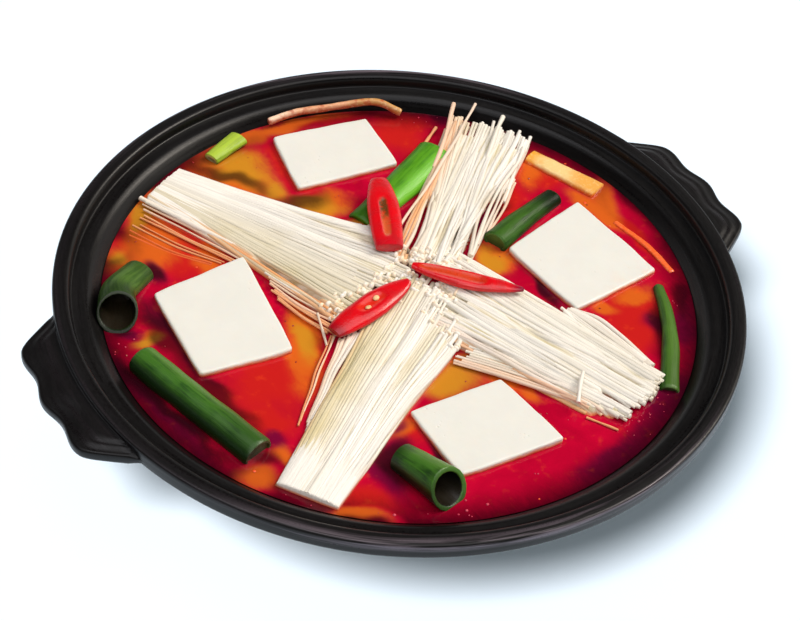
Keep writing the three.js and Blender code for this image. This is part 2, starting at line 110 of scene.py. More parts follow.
# A bundle fans from its cut end to its caps; widths and rises are at those two ends, and the caps fall
# back on each side of the apex, as steeply as wedge says. Stems start ragged and reach over the caps'
# end. cross is how far they stray, groove how deep the furrows between clumps are, block how far from
# the cut end they are fused; the spans of the shaded side and of soak say where (from the middle, -1 to 1)
# and how strongly stems get painted shade and are soaked. In a gap only some top stems pass over the
# broth, slant is where and how much stems start later, clump how many clumps start together and tip_up
# how far the cut ends rise. Loose strands are a path, how soaked they are and how thick; a fringe spreads
# some between two paths.
ENOKI = {
    "enoki_front_left": dict(
        cut=(-85, -80.3), caps=(11, -8.3), width=(26, 42), rise=(3, 6.6), wedge=(0.9, 0.9), apex=7, seed=41,
        ragged=0.7, over=0.08, groove=1.1, cross=0.04, block=0.2, shaded_side=(-0.2, 0.9, 0.9),
        soak=(0.8, 1.0, 0.35), gaps=[],
        loose=[([(-37.7, 1.4, 3.2), (-40.5, -7.4, 3.0), (-42.8, -15.2, 2.4)], 0.2, 0.6)],
        fringe=[([(-25, -13, 3), (-43, -27, 2.4), (-66, -48, 1.2)],
                 [(-36, -14, 2.4), (-48, -27, 1.6), (-70, -50, 0.6)], 9, (0.1, 0.3), 0.7),
                ([(-35.4, -10.2, 2.6), (-49, -24.8, 2), (-66, -42, 1)],
                 [(-37.8, -9.8, 2.2), (-51.5, -24.9, 1.4), (-70, -45.5, 0.6)], 3, (0.3, 0.7), 0.45)]),
    "enoki_back_left": dict(
        cut=(-60, 101.5), caps=(-1.8, -1), width=(25, 60), rise=(3.4, 6.4), wedge=(0.35, 1.6), apex=10,
        seed=11, ragged=1, over=0.03, groove=1.4, cross=0.07, block=0.34, shaded_side=(0.5, -0.8, 0.6),
        soak=(-0.66, -1.0, 0.6), gaps=[(-0.86, 0.06, 0.5, 0.9)],
        loose=[([(-72.6, 96.6, 2), (-60.4, 72, 2.4), (-46.5, 46.3, 3)], 0.12, 1.2),
               ([(-71.6, 93, 2.2), (-58.4, 68.5, 2.6), (-45, 44.3, 3)], 0.05, 1.0)],
        fringe=[([(-73.6, 93.4, 1.2), (-61.1, 67.4, 1.6), (-49.1, 42.9, 2)],
                 [(-85.7, 81.2, -0.3), (-75.9, 63.6, -0.2), (-62.2, 48.4, -0.2)], 8, (0.3, 1.0), 0.5),
                ([(-46.5, 33.8, 2.6), (-38.9, 14.6, 2.8), (-28.4, -4.3, 3)],
                 [(-47.8, 18.2, 1), (-43.1, 2.1, 1), (-38.5, -9.8, 1.4)], 8, (0.1, 0.7), 0.55)]),
    "enoki_front_right": dict(
        cut=(54, -92.5), caps=(18, -13), width=(38, 46), rise=(4, 6.4), wedge=(-0.45, 0.1), seed=37,
        ragged=6, over=0.12, groove=1.6, cross=0.13, block=0, shaded_side=(0.3, -0.9, 0.15), soak=(0.55, 1.0, 0.4),
        gaps=[(0.4, 0.08, -0.3, 0.16), (0.12, 0.05, 0.66, 0.84), (1.0, 0.3, -0.4, 0.1),
              (0.78, 0.05, 0.3, 0.9)], slant=(0.55, 0.5),
        loose=[([(39.1, -74.6, 7), (34.1, -80.1, 7.4), (29.5, -86, 5)], 0, 0.9),
               ([(31, -90.9, 0.5), (38.5, -101.7, 0.5)], 0.6, 0.5)],
        fringe=[([(9, -40.5, 2.6), (25, -60, 3.2), (42, -85.5, 3.4)],
                 [(-1.5, -43.5, 1.2), (16.5, -65, 1.6), (35, -88.5, 1.6)], 11, (0.0, 0.35), 0.68),
                ([(53.4, -36.4, 3), (57, -53, 2.8), (64.4, -76, 3.2)],
                 [(59.4, -38.4, 1.4), (66.4, -51.2, 1.6), (71, -80.4, 1.6)], 9, (0.0, 0.12), 0.9)]),
    "enoki_back_right": dict(
        cut=(82, 69), caps=(16, 6.5), width=(40, 31), rise=(6.6, 6.4), wedge=(0.1, 0.1), seed=23, clump=3,
        ragged=11, over=0.04, groove=1.8, tip_up=22, cross=0.26, block=0, shaded_side=(0.4, -1.0, 0.45),
        soak=(-0.2, -1.0, 0.55),
        gaps=[(0.88, 0.3, 0.34, 0.97), (0.42, 0.1, 0.55, 0.92), (-0.66, 0.14, 0.5, 0.97),
              (0.05, 0.05, 0.8, 0.95)],
        loose=[([(87.9, 88.6, 8), (65.9, 69.4, 8.2), (42.2, 50.3, 7), (17.4, 32.6, 5.6)], 0.25, 0.8),
               ([(79.4, 93.1, 7.6), (62.9, 73.3, 7.6), (50, 60, 5)], 0.35, 1.0),
               ([(94.2, 74.8, 8.6), (82, 63, 8), (70, 51.4, 3.6)], 0, 1.1),
               ([(92.6, 54.7, 6), (79.0, 41.1, 4.5), (67.6, 29.0, 3)], 0.05, 1.0),
               ([(84, 46, 6.4), (62, 30, 6), (36, 4.6, 4)], 0.1, 0.9),
               ([(67.1, 87.2, 2), (55.7, 78.2, 2.6)], 0.6, 0.8),
               ([(42, 46, 4.8), (27, 28.6, 4.8), (12.6, 15.2, 4.6)], 0.1, 0.95),
               ([(46, 47.5, 4.4), (30, 29, 4.4), (16, 16, 4.4)], 0.3, 0.85),
               ([(36, 43, 4.6), (24, 30, 4.6), (12, 19, 4.4)], 0.2, 0.85)],
        fringe=[([(73.4, 40.6, 5), (54.8, 23.9, 4.2), (37.7, 7.0, 4)],
                 [(80.4, 38.6, 4), (66, 27, 3.6), (52, 15.5, 3.2)], 4, (0.1, 0.3), 0.8)]),
}

# soft zones of the broth: x, y, half sizes, turn in degrees; each kind is painted in a colour of its own,
# apart from lit, which keeps the painted dark edge of the pool, the wall's shade, away; the shade and
# maroon zones are painted shade beside the pieces and along the wall
ZONES = {
    "red": [(-70, -24, 26, 18, 0), (-6, 90, 7, 24, 4), (50, 92, 15, 18, 0), (25, 115, 36, 4, -4),
            (-64, 62, 24, 14, 60), (110, -10, 5, 34, 6), (84, -48, 16, 13, -20), (68, 32, 18, 10, 35),
            (-36, -68, 8, 10, 0), (16, -62, 12, 5, -45), (-70, -92, 18, 8, -35), (-44, 110, 10, 8, 0),
            (-46, -2, 8, 16, -12), (-58, 40, 8, 14, -20), (96, 42, 12, 12, 0), (-82, -42, 14, 8, -30),
            (-88, 76, 10, 8, 0), (75, -60, 7, 12, 10)],
    "orange": [(-80, 70, 14, 18, -40), (-74, 86, 8, 22, -35), (-99, 64, 8, 12, 20), (-103, 20, 4, 5, 20),
               (-53, -14, 8, 24, -22), (-32, 98, 19, 22, 0), (93, 47, 13, 7, 40), (-75, -98, 14, 4, -38),
               (-98, -63, 9, 8, 0), (111, 14, 6, 16, -20), (-2, 62, 16, 7, 10), (-38, -66, 6, 6, 30),
               (-42, 4, 6, 16, -12), (48, 4, 9, 12, -20), (-62, 52, 6, 10, -20), (89, -41, 10, 6, 0),
               (14, -56, 8, 5, -45), (8, 118, 30, 4, -2), (-80, -57, 6, 4, -30), (102, 18, 6, 12, 10),
               (104, 4, 4, 10, 0), (18, -70, 3, 8, 20), (-13, 116, 8, 4, 0), (71, -44, 6, 4, -40)],
    "ochre": [(-25, 98, 10, 18, 14), (-6, 64, 14, 6, -30), (45, 4, 7, 12, -20), (-6, -50, 17, 8, 0),
              (-49, -6, 5, 16, -14), (-76, 88, 4, 12, -40), (2, 42, 6, 8, 0), (-97, 66, 5, 6, 0),
              (-17, 79, 5, 6, 0), (-106, 17, 7, 4, 0)],
    "maroon": [(-114, -18, 6, 34, 12), (-93, 14, 5, 28, 4), (76, 97, 9, 9, 40), (-62, 112, 12, 6, 25),
               (-40, -62, 5, 7, 30), (-106, 72, 4, 6, 20), (60, -14, 4, 26, -12), (72, -100, 12, 12, 30),
               (56, 29, 12, 3, 25), (86, -60, 6, 8, 0), (-108, 27, 5, 7, 0), (30, -113, 26, 8, 15),
               (65, -96, 20, 9, 35), (96, -67, 16, 8, 55), (-82, -50, 6, 4, -30), (-84, 53, 6, 9, 10),
               (-54, -84, 7, 14, 0), (-32, -80, 4, 12, 0), (-46, -73, 6, 7, 0)],
    "shade": [(-31, 96, 22, 4, -58), (-10, 68, 14, 5, -20), (-95, 17, 6, 26, 4), (-110.5, -20, 4, 34, 16),
              (-107, 70, 4, 6, 0), (-94, -22, 5, 30, 14), (76, 100, 10, 5, 40), (-49, -80, 6, 14, 14),
              (86, -62, 5, 18, -32), (58, -18, 3, 22, -12), (60, 25, 12, 3, 25), (-92, -13, 3, 7, 0),
              (-109, 31, 5, 6, 0), (-84, 53, 5, 8, 10), (-90, -55, 9, 5, -30), (-32, -80, 4, 10, 0),
              (-97, 14, 6, 9, 0), (-46, -73, 5, 5, 0), (-118, 4, 4, 14, 8), (-102, 16, 4, 8, 0),
              (104, -53, 4, 10, -30)],
    "lit": [(0, 122, 56, 9, 0), (-76, 94, 16, 8, 50), (-70, -100, 18, 4, -36), (116, 6, 6, 22, 0),
            (-100, -66, 8, 8, 0), (-96, 74, 8, 8, 0)],
}

# clusters of small bubbles: x, y, spread in mm, how many
BUBBLES = [(-34, -113, 5, 12), (52, -102, 6, 16), (-92, -84, 4, 9), (62, -98, 4, 8), (-52, -108, 6, 8),
           (-116, 20, 3, 6), (-34, 116, 5, 7), (66, 99, 5, 8), (100, -50, 3, 6), (20, -106, 14, 9)]


# ---- settings ---------------------------------------------------------------------------------
def length(name, description, default):
    """A setting in metres."""
    return bpy.props.FloatProperty(name=name, description=description, default=default, min=0, precision=4,
                                   subtype="DISTANCE", unit="LENGTH")


def linear(colour):
    """The linear values that shaders take, of a colour written as #rrggbb or given as such values."""
    if not isinstance(colour, str):
        return list(colour)
    values = [int(colour[k:k + 2], 16) / 255 for k in (1, 3, 5)]
    return [v / 12.92 if v <= 0.04045 else ((v + 0.055) / 1.055) ** 2.4 for v in values]


def darker(colour, share):
    """A share of a colour's linear values."""
    return [value * share for value in linear(colour)]


def colour(name, description, code):
    """A setting with a colour, written as #rrggbb."""
    return bpy.props.FloatVectorProperty(name=name, description=description, default=linear(code), min=0,
                                         max=1, size=3, subtype="COLOR")


class HotPotPotSettings(bpy.types.PropertyGroup):
    base_radius: length("Base radius", "Radius of the flat base", 0.08)
    broth_radius: length("Broth radius", "Radius of the inner wall at the broth", 0.1215)
    floor_radius: length("Floor radius", "Radius of the flat floor inside", 0.07)
    floor_level: length("Floor level", "Height of the floor inside", 0.007)
    rim_width: length("Rim width", "Width of the raised ring round the mouth", 0.0066)
    rim_face: length("Rim face", "Height of the ring's outer face", 0.0067)
    ledge_drop: length("Ledge drop", "From the ring's top down to the lid ledge", 0.0046)
    ledge_radius: length("Ledge radius", "Inner radius of the lid ledge", 0.127)
    lug_reach: length("Lug reach", "How far a lug stands out from the rim", 0.014)
    lug_thickness: length("Lug thickness", "Thickness of a lug", 0.0056)
    colour: colour("Glaze", "Colour of the stoneware", "#090707")


class HotPotBrothSettings(bpy.types.PropertyGroup):
    meniscus: length("Meniscus", "How far the broth creeps up the wall", 0.00025)
    ripple: length("Ripple", "Height of the slow ripples", 0.00018)
    crimson: colour("Crimson", "The broth where it is deep", "#b4042c")
    # painted shade: the dark maroon of the broth along the wall and beside the pieces
    maroon: colour("Maroon", "The broth along the wall", "#6a0630")
    red: colour("Red", "The broth over lighter food", "#ba1c1a")
    orange: colour("Orange", "Oil and soaked strands under the surface", "#cb5c1a")
    ochre: colour("Ochre", "Pale food close under the surface", "#c08320")


class HotPotTofuSettings(bpy.types.PropertyGroup):
    lift: length("Lift", "Height of the slices above the broth", 0.0026)
    thickness: length("Thickness", "Thickness of a slice", 0.012)
    edge: length("Edge radius", "Rounding of the cut edges", 0.001)
    colour: colour("Tofu", "Colour of the tofu", "#dbdad2")


class HotPotEnokiSettings(bpy.types.PropertyGroup):
    stem: length("Stem radius", "Radius of a usual stem", 0.0009)
    cap: length("Cap radius", "Radius of a usual cap", 0.0015)
    pitch: length("Pitch", "Distance between the stems of a layer", 0.0012)
    colour: colour("Enoki", "Colour of the stems", "#ebe6dd")
    shade: colour("Enoki in shade", "Colour of the shaded stems", "#c6b88c")
    soaked: colour("Soaked enoki", "Colour of the strands that lie in the broth", "#d2541a")


class HotPotGreensSettings(bpy.types.PropertyGroup):
    ridge: length("Ridge", "Height of the fine ribs along the leaf", 0.00006)
    leaf: colour("Leaf", "Colour of the dark green leaves", "#38641c")
    leaf_deep: colour("Leaf in shade", "Colour of the darkest streaks", "#17330f")
    young: colour("Young leaf", "Colour of the bright green leaf", "#509017")


class HotPotChiliSettings(bpy.types.PropertyGroup):
    skin: colour("Skin", "Colour of the chili's skin", "#d20a16")
    flesh: colour("Flesh", "Colour of the chili's inside", "#dc3a1a")
    seed: colour("Seed", "Colour of the chili's seeds", "#f3c98e")
    seed_size: length("Seed size", "Radius of a seed", 0.0012)


class HotPotGarnishSettings(bpy.types.PropertyGroup):
    # painted highlight: the carrot's and the mushroom's colours are the paler tops that two_tone lays on
    carrot: colour("Carrot", "Colour of the carrot", "#eac684")
    mushroom: colour("Mushroom", "Colour of the mushroom strip", "#d69a72")
    droplet: length("Droplet size", "Radius of a large oil droplet", 0.0008)
    flake: length("Flake size", "Radius of a large chili flake", 0.0004)


class HotPotStageSettings(bpy.types.PropertyGroup):
    floor_size: length("Floor size", "Side of the floor", 6.0)
    floor: colour("Floor", "Colour of the floor", "#eef2f6")


SETTINGS = {
    "hotpot_pot": HotPotPotSettings,
    "hotpot_broth": HotPotBrothSettings,
    "hotpot_tofu": HotPotTofuSettings,
    "hotpot_enoki": HotPotEnokiSettings,
    "hotpot_greens": HotPotGreensSettings,
    "hotpot_chili": HotPotChiliSettings,
    "hotpot_garnish": HotPotGarnishSettings,
    "hotpot_stage": HotPotStageSettings,
}


# ---- nodes ------------------------------------------------------------------------------------
class Signal:
    """One output of a node; + - * and fade put the node for their result behind it."""

    def __init__(self, node, output=0):
        self.tree = node.id_data
        self.socket = node.outputs[output]

    def __add__(self, other):
        return calc("ADD", self, other)

    def __sub__(self, other):
        return calc("SUBTRACT", self, other)

    def __rsub__(self, other):
        return calc("SUBTRACT", other, self)

    def __mul__(self, other):
        return calc("MULTIPLY", self, other)

    def fade(self, low, high, to_low=0.0, to_high=1.0):
        """A smooth step from to_low to to_high, where this goes from low to high."""
        return signal(self.tree, "ShaderNodeMapRange", {
            "Value": self, "From Min": low, "From Max": high, "To Min": to_low, "To Max": to_high},
            interpolation_type="SMOOTHSTEP")

    def relief(self, distance, strength, under=None):
        """Bumps with this as their height, laid over another relief where one is given."""
        inputs = {"Height": self, "Distance": distance, "Strength": strength}
        if under:
            inputs["Normal"] = under
        return signal(self.tree, "ShaderNodeBump", inputs)


def feed(socket, value):
    """Links an input to a signal, or sets it to a value."""
    if isinstance(value, Signal):
        socket.id_data.links.new(value.socket, socket)
    else:
        socket.default_value = value


def add(tree, kind, inputs=None, **settings):
    """One node, with its settings made and its inputs fed."""
    node = tree.nodes.new(kind)
    for key, value in settings.items():
        setattr(node, key, value)
    for key, value in (inputs or {}).items():
        feed(node.inputs[key], value)
    return node


def signal(tree, kind, inputs=None, output=0, **settings):
    """An output of a new node."""
    return Signal(add(tree, kind, inputs, **settings), output)


def calc(operation, first, second=0.0):
    """A math node; at least one of its inputs is a signal."""
    tree = first.tree if isinstance(first, Signal) else second.tree
    return signal(tree, "ShaderNodeMath", {0: first, 1: second}, operation=operation)


def vector(tree, x, y, z):
    """A vector of three signals or numbers."""
    return signal(tree, "ShaderNodeCombineXYZ", {0: x, 1: y, 2: z})


def mix(share, first, second):
    """From one colour to another; each is a signal, a code or a list of linear values."""
    node = add(share.tree, "ShaderNodeMix", {0: share}, data_type="RGBA")
    for index, value in ((6, first), (7, second)):
        feed(node.inputs[index], value if isinstance(value, Signal) else (*linear(value), 1))
    return Signal(node, 2)


class Finish:
    """A procedural material, whose colour is painted in layers over the tone so far."""

    def __init__(self, name, **sockets):
        self.material = bpy.data.materials.new(name)
        self.material.use_nodes = True
        self.tree = self.material.node_tree
        self.place = signal(self.tree, "ShaderNodeTexCoord", output="Object")
        self.tone = None
        self.set(**sockets)

    def set(self, **sockets):
        """Feeds the surface's inputs, whose names are written in lower case."""
        surface = self.tree.nodes["Principled BSDF"]
        for key, value in sockets.items():
            feed(surface.inputs[key.replace("_", " ").title().replace("Ior", "IOR")], value)
        return self.material

    def axes(self):
        """The place's x, y and z."""
        split = add(self.tree, "ShaderNodeSeparateXYZ", {0: self.place})
        return [Signal(split, k) for k in range(3)]

    def value(self, name):
        """A value that the mesh carries."""
        return signal(self.tree, "ShaderNodeAttribute", output="Fac", attribute_name=name)

    def noise(self, scale, detail=3.0, roughness=0.5, place=None, distortion=0.0):
        return signal(self.tree, "ShaderNodeTexNoise", {
            "Vector": place or self.place, "Scale": scale, "Detail": detail, "Roughness": roughness,
            "Distortion": distortion})

    def paint(self, share, colour):
        """Lays a colour over the tone so far."""
        self.tone = mix(share, self.tone, colour)

    def done(self, gloss, relief):
        """Gives the surface its tone, its roughness and its relief."""
        return self.set(base_color=self.tone, roughness=gloss, normal=relief)


def near_broth(height, low, high, most=1.0):
    """How strongly a place takes the broth's colour by its height: the most up to low, nothing from high, in
    mm above the broth.
    """
    return height.fade(BROTH_LEVEL + low * MM, BROTH_LEVEL + high * MM, most, 0.0)


class Growth:
    """A Geometry Nodes tree with named inputs, which grows a mesh from an object's points or edges."""

    def __init__(self, name, **inputs):
        self.tree = bpy.data.node_groups.new(name, "GeometryNodeTree")
        self.keys, self.given = {}, {}
        for key, (kind, default) in {"source": ("Geometry", None), **inputs}.items():
            label = key.replace("_", " ").capitalize()
            socket = self.tree.interface.new_socket(label, in_out="INPUT", socket_type="NodeSocket" + kind)
            if default is not None:
                socket.default_value = default
            self.keys[key] = socket.identifier
        self.tree.interface.new_socket("Result", in_out="OUTPUT", socket_type="NodeSocketGeometry")
        group = add(self.tree, "NodeGroupInput")
        for k, key in enumerate(self.keys):
            self.given[key] = Signal(group, k)

    def value(self, name):
        """A value that the points carry."""
        return signal(self.tree, "GeometryNodeInputNamedAttribute", {"Name": name}, data_type="FLOAT")

    def ball(self, segments, rings, stretch):
        """A round shape of radius 1, stretched along its axes."""
        ball = signal(self.tree, "GeometryNodeMeshUVSphere", {
            "Segments": segments, "Rings": rings, "Radius": 1.0})
        return signal(self.tree, "GeometryNodeTransform", {
            "Geometry": ball, "Scale": vector(self.tree, *stretch)})

    def copies(self, finish, **inputs):
        """Real copies of a shape on points, in a finish."""
        copies = signal(self.tree, "GeometryNodeInstanceOnPoints", {k.title(): v for k, v in inputs.items()})
        return self.dressed(signal(self.tree, "GeometryNodeRealizeInstances", {"Geometry": copies}), finish)

    def dressed(self, geometry, finish):
        return signal(self.tree, "GeometryNodeSetMaterial", {"Geometry": geometry, "Material": finish})

    def close(self, *parts):
        """Joins the parts as the tree's result."""
        join = add(self.tree, "GeometryNodeJoinGeometry")
        for part in parts:
            feed(join.inputs[0], part)
        smooth = signal(self.tree, "GeometryNodeSetShadeSmooth", {"Geometry": Signal(join)})
        add(self.tree, "NodeGroupOutput", {0: smooth})

    def apply(self, obj, **inputs):
        """Grows the object with these inputs and leaves it as a plain mesh."""
        modifier = obj.modifiers.new("growth", "NODES")
        modifier.node_group = self.tree
        for key, value in inputs.items():
            modifier[self.keys[key]] = value
        graph = bpy.context.evaluated_depsgraph_get()
        mesh = bpy.data.meshes.new_from_object(obj.evaluated_get(graph))
        obj.modifiers.clear()
        obj.data = mesh
        return obj


# ---- meshes -----------------------------------------------------------------------------------
def piece(name, vertices, faces, values, finish=None, sharp=38, edges=()):
    """A mesh object from its vertices in metres, with float values for its points."""
    mesh = bpy.data.meshes.new(name)
    mesh.from_pydata([tuple(v) for v in vertices], edges, faces)
    for key, data in values.items():
        data = np.asarray(data, np.float32).ravel()
        mesh.attributes.new(key, "FLOAT", "POINT").data.foreach_set("value", data)
    if faces:
        mesh.polygons.foreach_set("use_smooth", [True] * len(faces))
        mesh.set_sharp_from_angle(angle=math.radians(sharp))
    obj = bpy.data.objects.new(name, mesh)
    bpy.context.scene.collection.objects.link(obj)
    if finish:
        mesh.materials.append(finish)
    return obj


def settle(obj, slot, *nodes):
    """The finished piece rides on the pot and stands for its solids, which are hidden; its slot is not used.
    """
    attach(obj, "root")
    if nodes:
        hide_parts(*nodes)


def joined(name, objects):
    """Several mesh objects as one."""
    with bpy.context.temp_override(active_object=objects[0], selected_editable_objects=objects):
        bpy.ops.object.join()
    objects[0].name = name
    objects[0].data.name = name
    return objects[0]


def smoothstep(value, low, high):
    share = np.clip((value - low) / (high - low), 0, 1)
    return share * share * (3 - 2 * share)


def wobble(point, scale, seed=0.0):
    """Smooth noise from -1 to 1 at a point in mm, with features of about scale mm."""
    return noise.noise(Vector(point) / scale + Vector((seed * 7.3, seed * 3.1, seed * 5.7)))


def between(pair, share):
    """From the first value of a pair to the second, held beyond both ends."""
    return np.interp(share, (0, 1), pair)


def turns(count):
    """Equal angles round a circle."""
    return np.linspace(0, 2 * math.pi, count, endpoint=False)


def boxy(values, power):
    """Sines or cosines raised to a power with their signs kept, which squares off a round section."""
    return np.sign(values) * np.abs(values) ** power


def bezier(p0, p1, p2, p3, steps):
    """Points on a curve from the first point to the last, drawn towards the two between."""
    t = np.linspace(0, 1, steps + 1)[:, None]
    p0, p1, p2, p3 = (np.array(p, float) for p in (p0, p1, p2, p3))
    return (1 - t) ** 3 * p0 + 3 * (1 - t) ** 2 * t * p1 + 3 * (1 - t) * t ** 2 * p2 + t ** 3 * p3


class Route:
    """A smooth path through points in mm, followed by its share of the whole length."""

    def __init__(self, points, samples=160):
        knots = np.array(points, float)
        knots = np.vstack([2 * knots[0] - knots[1], knots, 2 * knots[-1] - knots[-2]])
        t = np.linspace(0, 1, samples, endpoint=False)[:, None]
        line = []
        for a, b, c, d in zip(knots, knots[1:], knots[2:], knots[3:]):
            line.append(0.5 * (2 * b + (c - a) * t + (2 * a - 5 * b + 4 * c - d) * t ** 2
                               + (3 * b - a - 3 * c + d) * t ** 3))
        self.line = np.vstack([*line, knots[-2:-1]])
        steps = np.linalg.norm(np.diff(self.line, axis=0), axis=1)
        self.measure = np.concatenate([[0], np.cumsum(steps)])
        self.length = self.measure[-1]

    def at(self, share):
        place = np.clip(share, 0, 1) * self.length
        return np.array([np.interp(place, self.measure, self.line[:, k]) for k in range(3)])

    def along(self, share, step=0.01):
        way = self.at(min(share + step, 1)) - self.at(max(share - step, 0))
        return way / np.linalg.norm(way)


def ring(route, share, out, rise, lean=0.0):
    """Points round a route: out to its left, rise upwards, leaning along it with height."""
    along = route.along(share)
    side = np.cross((0, 0, 1), along)
    side /= np.linalg.norm(side)
    top = np.cross(along, side)
    out, rise = np.asarray(out)[:, None], np.asarray(rise)[:, None]
    return route.at(share) + side * out + top * rise + along * lean * rise


def in_place(points, level=BROTH_LEVEL):
    """From mm above a level to metres in the frame."""
    return np.asarray(points) * MM + np.array((0, 0, level))


def column(values):
    """One value for each ring of a tube."""
    return np.array(values)[:, None]


def tube(rings, level=BROTH_LEVEL, **values):
    """A body through rings of equally many points in mm, closed at both ends: vertices, faces, values.

    A value is given for each point, for each side of the tube or, as a column, for each ring.
    """
    rings = np.asarray(rings)
    count, sides = rings.shape[:2]
    index = np.arange(count * sides).reshape(count, sides)
    right = np.roll(index, -1, axis=1)
    faces = np.stack([index[:-1], right[:-1], right[1:], index[1:]], -1).reshape(-1, 4).tolist()
    hub = count * sides
    faces += [[hub, b, a] for a, b in zip(index[0].tolist(), right[0].tolist())]
    faces += [[hub + 1, a, b] for a, b in zip(index[-1].tolist(), right[-1].tolist())]

    def with_hubs(grid):
        flat = grid.reshape(hub, *grid.shape[2:])
        return np.concatenate([flat, grid[:1].mean(axis=1), grid[-1:].mean(axis=1)])

    values = {key: with_hubs(np.broadcast_to(value, (count, sides))) for key, value in values.items()}
    return in_place(with_hubs(rings), level), faces, values


# ---- pot --------------------------------------------------------------------------------------
LUG_HALF_ANGLE = 20
LUG_CORNER_ANGLE = 10.2
LUG_SPAN = 21  # half the angle round a lug where the pot's points are closer
LUG_WAVE = 1.1
LUG_WAVE_ANGLE = 9.4
LUG_TOP_DROP = 2.2
LUG_STEPS = ((0.0, 1.2), (4.2, 0.6), (8.4, 0.0))  # inset from the lug's edge, and drop, of each low step
STEP_HALF = 1.3  # half the width of the slope between two steps
POT_REACH = 15.1  # how far past the rim the lugs may reach
POT_SWAY, POT_SWAY_SIZE = 0.12, 22  # how far the turned wall strays, and over what distance


def rounded(corners, steps=5):
    """A profile through corners (radius, height, rounding), all but its ends turned into arcs."""
    corners = np.array(corners, float)
    t = np.linspace(0, 1, steps)[:, None]
    points = [corners[:1, :2]]
    for (*before, _), (*here, size), (*after, _) in zip(corners, corners[1:], corners[2:]):
        back, on = np.subtract(before, here), np.subtract(after, here)
        lengths = [max(np.linalg.norm(way), 1e-9) for way in (back, on)]
        reach = min(size, 0.48 * lengths[0], 0.48 * lengths[1])
        start, end = here + back / lengths[0] * reach, here + on / lengths[1] * reach
        points.append((1 - t) ** 2 * start + 2 * t * (1 - t) * np.array(here) + t ** 2 * end)
    return np.vstack([*points, corners[-1:, :2]])


def lug_edge(degrees, rim, reach):
    """How far out the lug's edge is at an angle from the lug's middle, in mm."""
    flank = float(smoothstep(abs(degrees), LUG_CORNER_ANGLE, LUG_HALF_ANGLE))
    wave = LUG_WAVE * math.cos(2 * math.pi * degrees / LUG_WAVE_ANGLE)
    return rim + (reach + wave) * (1 - flank) - 3 * flank


def pot_section(s, degrees):
    """The wall's outline at an angle from the nearest lug, from the base's middle round to the floor's."""
    rim, top, line = RIM_RADIUS / MM, POT_HEIGHT / MM, BROTH_LEVEL / MM
    base, floor, level = s.base_radius / MM, s.floor_radius / MM, s.floor_level / MM
    inner, ledge, ledge_in = rim - s.rim_width / MM, top - s.ledge_drop / MM, s.ledge_radius / MM
    face, broth = top - s.rim_face / MM, s.broth_radius / MM
    edge = lug_edge(degrees, rim, s.lug_reach / MM)
    share = float(smoothstep(edge - rim, 0, 3.5))
    lug_top = top - LUG_TOP_DROP
    lug_base = lug_top - s.lug_thickness / MM

    def lerp(plain, lug):
        return plain + (lug - plain) * share

    foot = [(base - 3, 0), (base - 1.5, 0.1), (base - 0.5, 0.7)]
    outer = bezier((base, 1.8), (base + 18, 11), (rim - 24, 31), (rim - 9, face - 2.8), 22)
    corners = [(rim - 9, face - 2.8, 0), (rim - 7.4, lerp(face - 0.6, lug_base - 0.1), 0.8),
               (max(edge, rim), lerp(face, lug_base), 1.6)]
    lug = [(max(edge, rim), lug_top - LUG_STEPS[0][1], 1.5)]
    for (_, lower), (inset, drop) in zip(LUG_STEPS, LUG_STEPS[1:]):
        lug += [(max(edge - inset + STEP_HALF, rim), lug_top - lower, 1.4),
                (max(edge - inset - STEP_HALF, rim), lug_top - drop, 1.4)]
    lug += [(rim, lug_top, 0.9)]
    plain_heights = np.linspace(face + 1.9, top - 2.6, len(lug) + 1)[1:]
    for (radius, height, size), plain in zip(lug, plain_heights):
        corners.append((radius, lerp(plain, height), size * share + 0.02))
    corners += [(rim, top, 2.5), (inner, top, 2.1), (inner - 0.5, ledge, 0.8), (ledge_in, ledge - 0.35, 1.1),
                (ledge_in - 1.9, ledge - 1.5, 1.0), (broth, line, 0)]
    wall = bezier((broth, line), (broth - 13, line - 20), (floor + 24, level + 4), (floor, level), 18)
    return np.vstack([foot, outer[:-1], rounded(corners)[:-1], wall])


def pot_body(s):
    """The turned pot, its points more closely spaced over the lugs."""
    fine, coarse = np.arange(-LUG_SPAN, LUG_SPAN, 0.5), np.arange(LUG_SPAN, 180 - LUG_SPAN, 1.5)
    farthest = RIM_RADIUS / MM + POT_REACH
    columns = []
    for turn in np.concatenate([fine, coarse, fine + 180, coarse + 180]):
        x, y = math.cos(math.radians(turn)), math.sin(math.radians(turn))
        points = []
        for radius, z in pot_section(s, (turn + 90) % 180 - 90):
            radius = min(radius + POT_SWAY * wobble((60 * x, 60 * y, z), POT_SWAY_SIZE), farthest)
            points.append((radius * x, radius * y, z))
        columns.append(points)
    return tube(np.swapaxes(columns, 0, 1), level=0)


